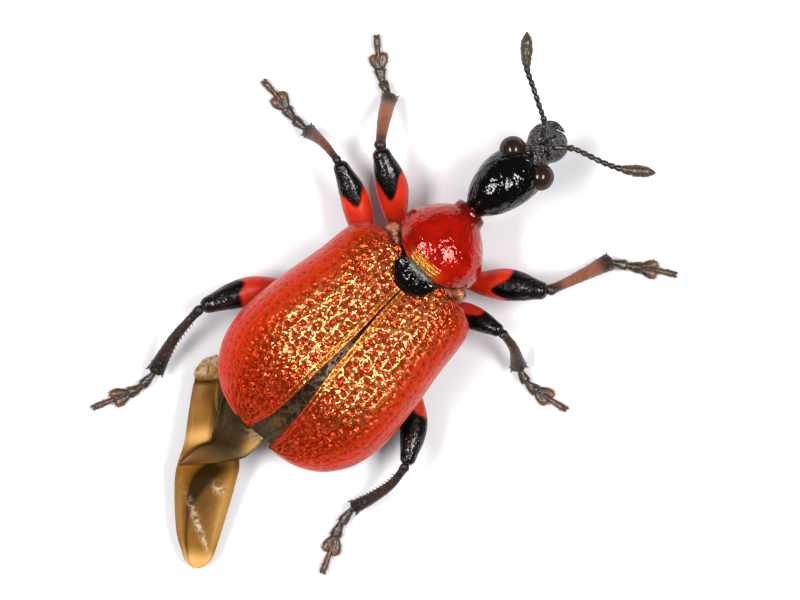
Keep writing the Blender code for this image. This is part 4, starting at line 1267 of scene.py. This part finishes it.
def build_antennae():
    """Feelers of cup-shaped joints that swell into a pointed club."""
    cup = smooth_through(FEELER_CUP)
    spindle = smooth_through(CLUB_OUTLINE)

    def club_girth(v):
        depth, width = GROOVE_SIZE
        grooves = sum(depth * np.exp(-((v - groove) / width) ** 2) for groove in CLUB_GROOVES)
        return spindle(v) * (1 - grooves)

    for side, word in SIDES:
        route = route_through(ANTENNAE[side])
        forms = []
        for start, end, girth in FEELER_JOINTS:
            stops = [route(start + (end - start) * share) for share in (0, 0.5, 1)]
            forms.append(limb(stops, lambda v, girth=girth: girth * cup(v), "feeler"))
        stops = [route(CLUB_START + (1 - CLUB_START) * share) for share in np.linspace(0, 1, 5)]
        club = limb(stops, club_girth, "club")
        club.marks["pale"] = 0.45 + 0.55 * ease(club.marks["along"], 0.75, 1.0)
        closed_piece("feeler_" + word, joined([*forms, club]),
                     foot_material("feeler_chitin", FEELER_TONES), "leg_chitin", "antenna_" + word)
        add_hairs("feeler_hairs_" + word, club, "feeler", CLUB_HAIR, side, "leg_chitin")


def femur_form(leg):
    """Club-shaped femur, its dark mark with a tongue that runs back on top."""
    swell = smooth_through(FEMUR_SWELL)
    form = limb(leg["femur"], lambda v: leg["girth"] * swell(v), "femur")
    reach, turn = leg["tongue"]
    top = np.clip(np.cos(2 * np.pi * (form.marks["across"] - turn)), 0, 1) ** TONGUE_NARROWNESS
    start = leg["dark_from"] - reach * top
    form.marks["dark"] = ease(form.marks["along"], start - DARK_EDGE, start + DARK_EDGE)
    return form


def tibia_form(leg):
    """Shin that widens towards the foot, with a rounded knee."""
    thin, wide = leg["shin"]
    taper = smooth_through(((0, 0.5 * thin), (0.03, 0.95 * thin), (0.08, thin), (0.14, 0.85 * thin),
                            (0.55, 1.12 * thin), (0.82, 0.35 * thin + 0.65 * wide), (0.96, wide),
                            (0.99, 0.97 * wide), (1, 0.8 * wide)))
    form = limb(leg["tibia"], taper, "shin")
    share = form.marks["along"]
    form.marks["dark"] = 1 - ease(share, 0.08, 0.30) * (1 - ease(share, 0.70, 0.88))
    return form


def foot_forms(leg):
    """Two cone joints, a pair of lobes, a slender joint and two claws."""
    route = route_through(leg["tarsus"])
    over = unit(np.cross(unit(route(1.0) - route(0.0)), UPWARD))
    cone = smooth_through(CONE_OUTLINE)
    lobe = smooth_through(LOBE_OUTLINE)
    claw = smooth_through(CLAW_TAPER)

    def stops(start, end, shift=0.0, rise=0.0):
        return [route(start + (end - start) * share) + over * shift * share ** 0.7
                + np.array((0, 0, rise * share)) for share in (0, 0.5, 1)]

    forms = []
    for start, end, girth in FOOT_CONES:
        forms.append(limb(stops(start, end), lambda v, girth=girth: girth * cone(v), "cone"))
    start, end, girth = FOOT_LOBES
    for side in (LEFT, RIGHT):
        forms.append(limb(stops(start, end, LOBE_SPREAD * side), lambda v: girth * lobe(v), "lobe"))
        bend = [route(share) + over * shift * side + (0, 0, up) for share, shift, up in CLAW_STOPS]
        forms.append(limb(bend, claw, "claw"))
    start, end, rise = FOOT_SHAFT
    forms.append(limb(stops(start, end, 0.0, rise),
                      lambda v: 0.040 + 0.024 * ease(v, 0.2, 0.9) - 0.03 * ease(v, 0.94, 1), "shaft"))
    return forms


def spur_spots(leg):
    """Places, ways and lengths of the end spurs and the teeth of a shin."""
    route = route_through(leg["tibia"])
    thin, wide = leg["shin"]
    places, ways, lengths = [], [], []

    def stand(share, turn, out, length, lean):
        ahead = unit(route(share) - route(share - 0.02))
        side = unit(np.cross(ahead, UPWARD))
        away = math.cos(turn) * side + math.sin(turn) * np.cross(side, ahead)
        way = unit(away * lean + ahead)
        places.append(route(share) + away * out + way * length * 0.35)
        ways.append(way)
        lengths.append(length)

    for turn in SPUR_TURNS:
        stand(SPUR_PLACE, turn, wide * 0.82, SPUR_LENGTH, SPUR_LEAN)
    if "teeth" in leg:
        for share in np.linspace(*TEETH_PLACES, TEETH):
            stand(share, leg["teeth"], thin * (0.68 + 0.45 * share), TOOTH_LENGTH, TOOTH_LEAN)
    return places, ways, lengths


def add_spurs(name, leg, material):
    """The spurs and teeth of a shin as a piece of their own."""
    places, ways, lengths = spur_spots(leg)
    form = Form(places, [], {"lie": np.array(ways), "size": np.array(lengths)})
    obj = grown(name, form.mesh(name), spike_tree(material), Width=SPUR_SLIMNESS * MM, Length=MM)
    dress(obj, material, "leg_chitin")


def build_legs():
    """Six legs: femora, shins with teeth and spurs, hairy feet with lobes and claws."""
    length = sizes().hair_length
    for number, (name, leg) in enumerate(LEGS.items()):
        shin = leg_material("shin_chitin_%d" % round(leg["brown"] * 100), leg["brown"])
        calf = tibia_form(leg)
        feet = joined(foot_forms(leg))
        closed_piece(name + "_thigh", femur_form(leg), leg_material("femur_chitin"), "femur_chitin",
                     name + "_femur")
        closed_piece(name + "_shin", calf, shin, "leg_chitin", name + "_tibia")
        closed_piece(name + "_foot", feet, foot_material("foot_chitin", FOOT_TONES), "leg_chitin",
                     name + "_tarsus")
        add_spurs(name + "_spurs", leg, shin)
        add_hairs(name + "_foot_hairs", feet, "foot", length, number, "leg_chitin")
        add_hairs(name + "_shin_hairs", calf, "shin", length * SHIN_HAIR_SHARE, number, "leg_chitin")


def vane_form(rungs, grid, creases, veins, billow, tip=1.0):
    """Thin vane between two edges, with creases across it, veins along it and a round tip."""
    shares = np.linspace(0, 1, len(rungs))
    outer, inner, height = (smooth_through([(share, rung[part]) for share, rung in zip(shares, rungs)])
                            for part in range(3))

    def place(u, v):
        narrow = np.sqrt(1 - np.clip((v - tip) / (1.001 - tip), 0, 1) ** 2)
        side = 0.5 + (u - 0.5) * narrow
        flat = outer(v) * (1 - side)[..., None] + inner(v) * side[..., None]
        up = height(v) + billow * np.sin(np.pi * u) * np.sin(np.pi * v * 2.5)
        for where, lean, depth, width in creases:
            up = up + depth * np.exp(-((v - where - lean * (u - 0.5)) / width) ** 2)
        for where, depth in veins:
            up = up + depth * np.exp(-((u - where) / 0.05) ** 2)
        return np.concatenate((flat, up[..., None]), -1)

    form = sheet(place, *grid)
    lines = sum(np.exp(-((form.marks["across"] - where) / 0.03) ** 2) for where, _ in veins)
    form.marks["vein"] = np.clip(lines, 0, 1)
    return form


def patches(form, rows):
    """Soft patches of a vane, added up: strength, place across and along, width, length, lean."""
    total = np.zeros(len(form.points))
    for strength, across, along, wide, long, lean in rows:
        u, v = form.marks["across"] - across, form.marks["along"] - along
        total = total + strength * np.exp(-(u / wide) ** 2 - ((v - lean * u) / long) ** 2)
    return total


def hanging_vane():
    """The folded hind wing beyond its stalk, with a knob where it is folded over."""
    vane = vane_form(**WING_VANE)
    v = vane.marks["along"]
    u = vane.marks["across"]
    knob = 1 - ease(v + FOLD_LEAN * (u - 0.5), 0.130, 0.145)
    vane.points[:, 0] += 0.08 * knob * (1 - u) ** 3
    vane.marks["shade"] = patches(vane, WING_SHADES)
    # painted light: pale patches, the folded-over knob and the paler tip
    vane.marks["pale"] = patches(vane, WING_LIT_PATCHES) + knob * 0.40 + ease(v, 0.82, 0.95) * 0.95
    vane.marks["crumple"] = patches(vane, WING_CRUMPLES) + knob * 1.2
    return vane


def stalk_vane():
    """The creased stalk of the hanging wing."""
    stalk = vane_form(**STALK_VANE)
    fade = ease(stalk.marks["along"], 0.66, 0.9) * 0.4
    stalk.marks["shade"] = 1.05 + patches(stalk, STALK_SHADES) - fade
    # painted light on a patch of the stalk
    stalk.marks["pale"] = patches(stalk, STALK_LIT_PATCHES)
    stalk.marks["crumple"] = patches(stalk, STALK_CRUMPLES)
    return stalk


def tucked_vane():
    """The wings folded away under the cases."""
    tucked = vane_form(**TUCKED_VANE)
    tucked.marks["shade"] = 0.98 + patches(tucked, TUCKED_SHADES)
    tucked.marks["pale"] = np.zeros(len(tucked.points))
    tucked.marks["crumple"] = 0.05 + patches(tucked, TUCKED_CRUMPLES)
    return tucked


def add_vane(name, form, *nodes):
    """A crumpled membrane as a piece of its own."""
    skin = membrane_material()
    obj = walled(crumpled(name, form, skin), sizes().membrane)
    dress(obj, skin, "wing_membrane", *nodes)


def build_hanging_wing():
    """Folded hind wing that hangs out behind on its stalk, and the wings tucked under the cases."""
    add_vane("hanging_wing", hanging_vane(), "hind_wing_left")
    add_vane("wing_stalk", stalk_vane())
    add_vane("tucked_wings", tucked_vane())


def build_stage():
    """Pale paper floor, soft lights and the camera over the animal."""
    scene = bpy.context.scene
    scene.view_settings.view_transform = "Standard"
    mesh = bpy.data.meshes.new("floor")
    shape = bmesh.new()
    bmesh.ops.create_grid(shape, x_segments=1, y_segments=1, size=FLOOR_REACH * MM)
    shape.to_mesh(mesh)
    shape.free()
    floor = add_object("floor", mesh)
    floor.data.materials.append(floor_material())
    world = bpy.data.worlds.new("soft_room")
    world.use_nodes = True
    world.node_tree.nodes["Background"].inputs["Color"].default_value = colour4(ROOM_TINT)
    world.node_tree.nodes["Background"].inputs["Strength"].default_value = ROOM_LIGHT
    scene.world = world
    for name, place, width, length, power, glints in LAMPS:
        light = bpy.data.lights.new(name, "AREA")
        light.shape = "RECTANGLE"
        light.size = width * MM
        light.size_y = length * MM
        light.energy = power
        lamp = bpy.data.objects.new(name, light)
        lamp.location = Vector(place) * MM
        lamp.visible_glossy = glints
        lamp.rotation_euler = (-lamp.location).to_track_quat("-Z", "Y").to_euler()
        scene.collection.objects.link(lamp)
    lens = bpy.data.cameras.new("camera")
    lens.sensor_width = SENSOR
    lens.lens = SENSOR * CAMERA_HEIGHT / (MM_PER_PIXEL * FRAME_WIDTH)
    lens.clip_start, lens.clip_end = CLIP_REACHES
    camera = bpy.data.objects.new("camera", lens)
    middle = (np.array(PHOTO_MIDDLE) - STANCE_CENTRE) * MM
    camera.location = (middle[0], middle[1], (CAMERA_HEIGHT + SCALE_HEIGHT) * MM)
    camera.rotation_euler = (0, 0, HEADING_TURN)
    scene.collection.objects.link(camera)
    scene.camera = camera


class WEEVIL_OT_stage(bpy.types.Operator):
    """Floor, soft lights and camera"""

    bl_idname = "weevil.stage"
    bl_label = "Stage"

    def execute(self, context):
        build_stage()
        return {"FINISHED"}


class WEEVIL_OT_wing_cases(bpy.types.Operator):
    """Both wing cases with their pitted rows"""

    bl_idname = "weevil.wing_cases"
    bl_label = "Wing cases"

    def execute(self, context):
        build_wing_cases()
        return {"FINISHED"}


class WEEVIL_OT_pronotum(bpy.types.Operator):
    """Bell-shaped pronotum and the front coxae"""

    bl_idname = "weevil.pronotum"
    bl_label = "Pronotum"

    def execute(self, context):
        build_pronotum()
        return {"FINISHED"}


class WEEVIL_OT_scutellum(bpy.types.Operator):
    """Small plate between the wing cases"""

    bl_idname = "weevil.scutellum"
    bl_label = "Scutellum"

    def execute(self, context):
        build_scutellum()
        return {"FINISHED"}


class WEEVIL_OT_trunk(bpy.types.Operator):
    """Thorax and abdomen with their knobs"""

    bl_idname = "weevil.trunk"
    bl_label = "Trunk"

    def execute(self, context):
        build_trunk()
        return {"FINISHED"}


class WEEVIL_OT_head(bpy.types.Operator):
    """Head, rostrum and mandibles"""

    bl_idname = "weevil.head"
    bl_label = "Head"

    def execute(self, context):
        build_head()
        return {"FINISHED"}


class WEEVIL_OT_eyes(bpy.types.Operator):
    """Eyes covered in facets"""

    bl_idname = "weevil.eyes"
    bl_label = "Eyes"

    def execute(self, context):
        build_eyes()
        return {"FINISHED"}


class WEEVIL_OT_antennae(bpy.types.Operator):
    """Both feelers with their clubs"""

    bl_idname = "weevil.antennae"
    bl_label = "Feelers"

    def execute(self, context):
        build_antennae()
        return {"FINISHED"}


class WEEVIL_OT_legs(bpy.types.Operator):
    """Six legs with their spurs, hairs and claws"""

    bl_idname = "weevil.legs"
    bl_label = "Legs"

    def execute(self, context):
        build_legs()
        return {"FINISHED"}


class WEEVIL_OT_hanging_wing(bpy.types.Operator):
    """The hanging wing and the tucked wings"""

    bl_idname = "weevil.hanging_wing"
    bl_label = "Hind wings"

    def execute(self, context):
        build_hanging_wing()
        return {"FINISHED"}


STEPS = (WEEVIL_OT_stage,
         WEEVIL_OT_wing_cases,
         WEEVIL_OT_pronotum,
         WEEVIL_OT_scutellum,
         WEEVIL_OT_trunk,
         WEEVIL_OT_head,
         WEEVIL_OT_eyes,
         WEEVIL_OT_antennae,
         WEEVIL_OT_legs,
         WEEVIL_OT_hanging_wing)


class VIEW3D_PT_weevil(bpy.types.Panel):
    """The weevil's pieces, sizes and colours."""

    bl_label = "Weevil"
    bl_idname = "VIEW3D_PT_weevil"
    bl_space_type = "VIEW_3D"
    bl_region_type = "UI"
    bl_category = "Weevil"

    def draw(self, context):
        for step in STEPS:
            self.layout.operator(step.bl_idname)
        for settings in (context.scene.weevil_sizes, context.scene.weevil_colours):
            for name in settings.__annotations__:
                self.layout.prop(settings, name)


CLASSES = (WeevilSizes, WeevilColours, *STEPS, VIEW3D_PT_weevil)


def register():
    """Add the classes and the scene's settings."""
    for cls in CLASSES:
        bpy.utils.register_class(cls)
    bpy.types.Scene.weevil_sizes = bpy.props.PointerProperty(type=WeevilSizes)
    bpy.types.Scene.weevil_colours = bpy.props.PointerProperty(type=WeevilColours)


def unregister():
    """Remove the settings and the classes."""
    del bpy.types.Scene.weevil_colours
    del bpy.types.Scene.weevil_sizes
    for cls in reversed(CLASSES):
        bpy.utils.unregister_class(cls)


def main():
    """Build every piece."""
    register()
    bpy.ops.weevil.stage()
    bpy.ops.weevil.wing_cases()
    bpy.ops.weevil.pronotum()
    bpy.ops.weevil.scutellum()
    bpy.ops.weevil.trunk()
    bpy.ops.weevil.head()
    bpy.ops.weevil.eyes()
    bpy.ops.weevil.antennae()
    bpy.ops.weevil.legs()
    bpy.ops.weevil.hanging_wing()


if __name__ == "__main__":
    main()
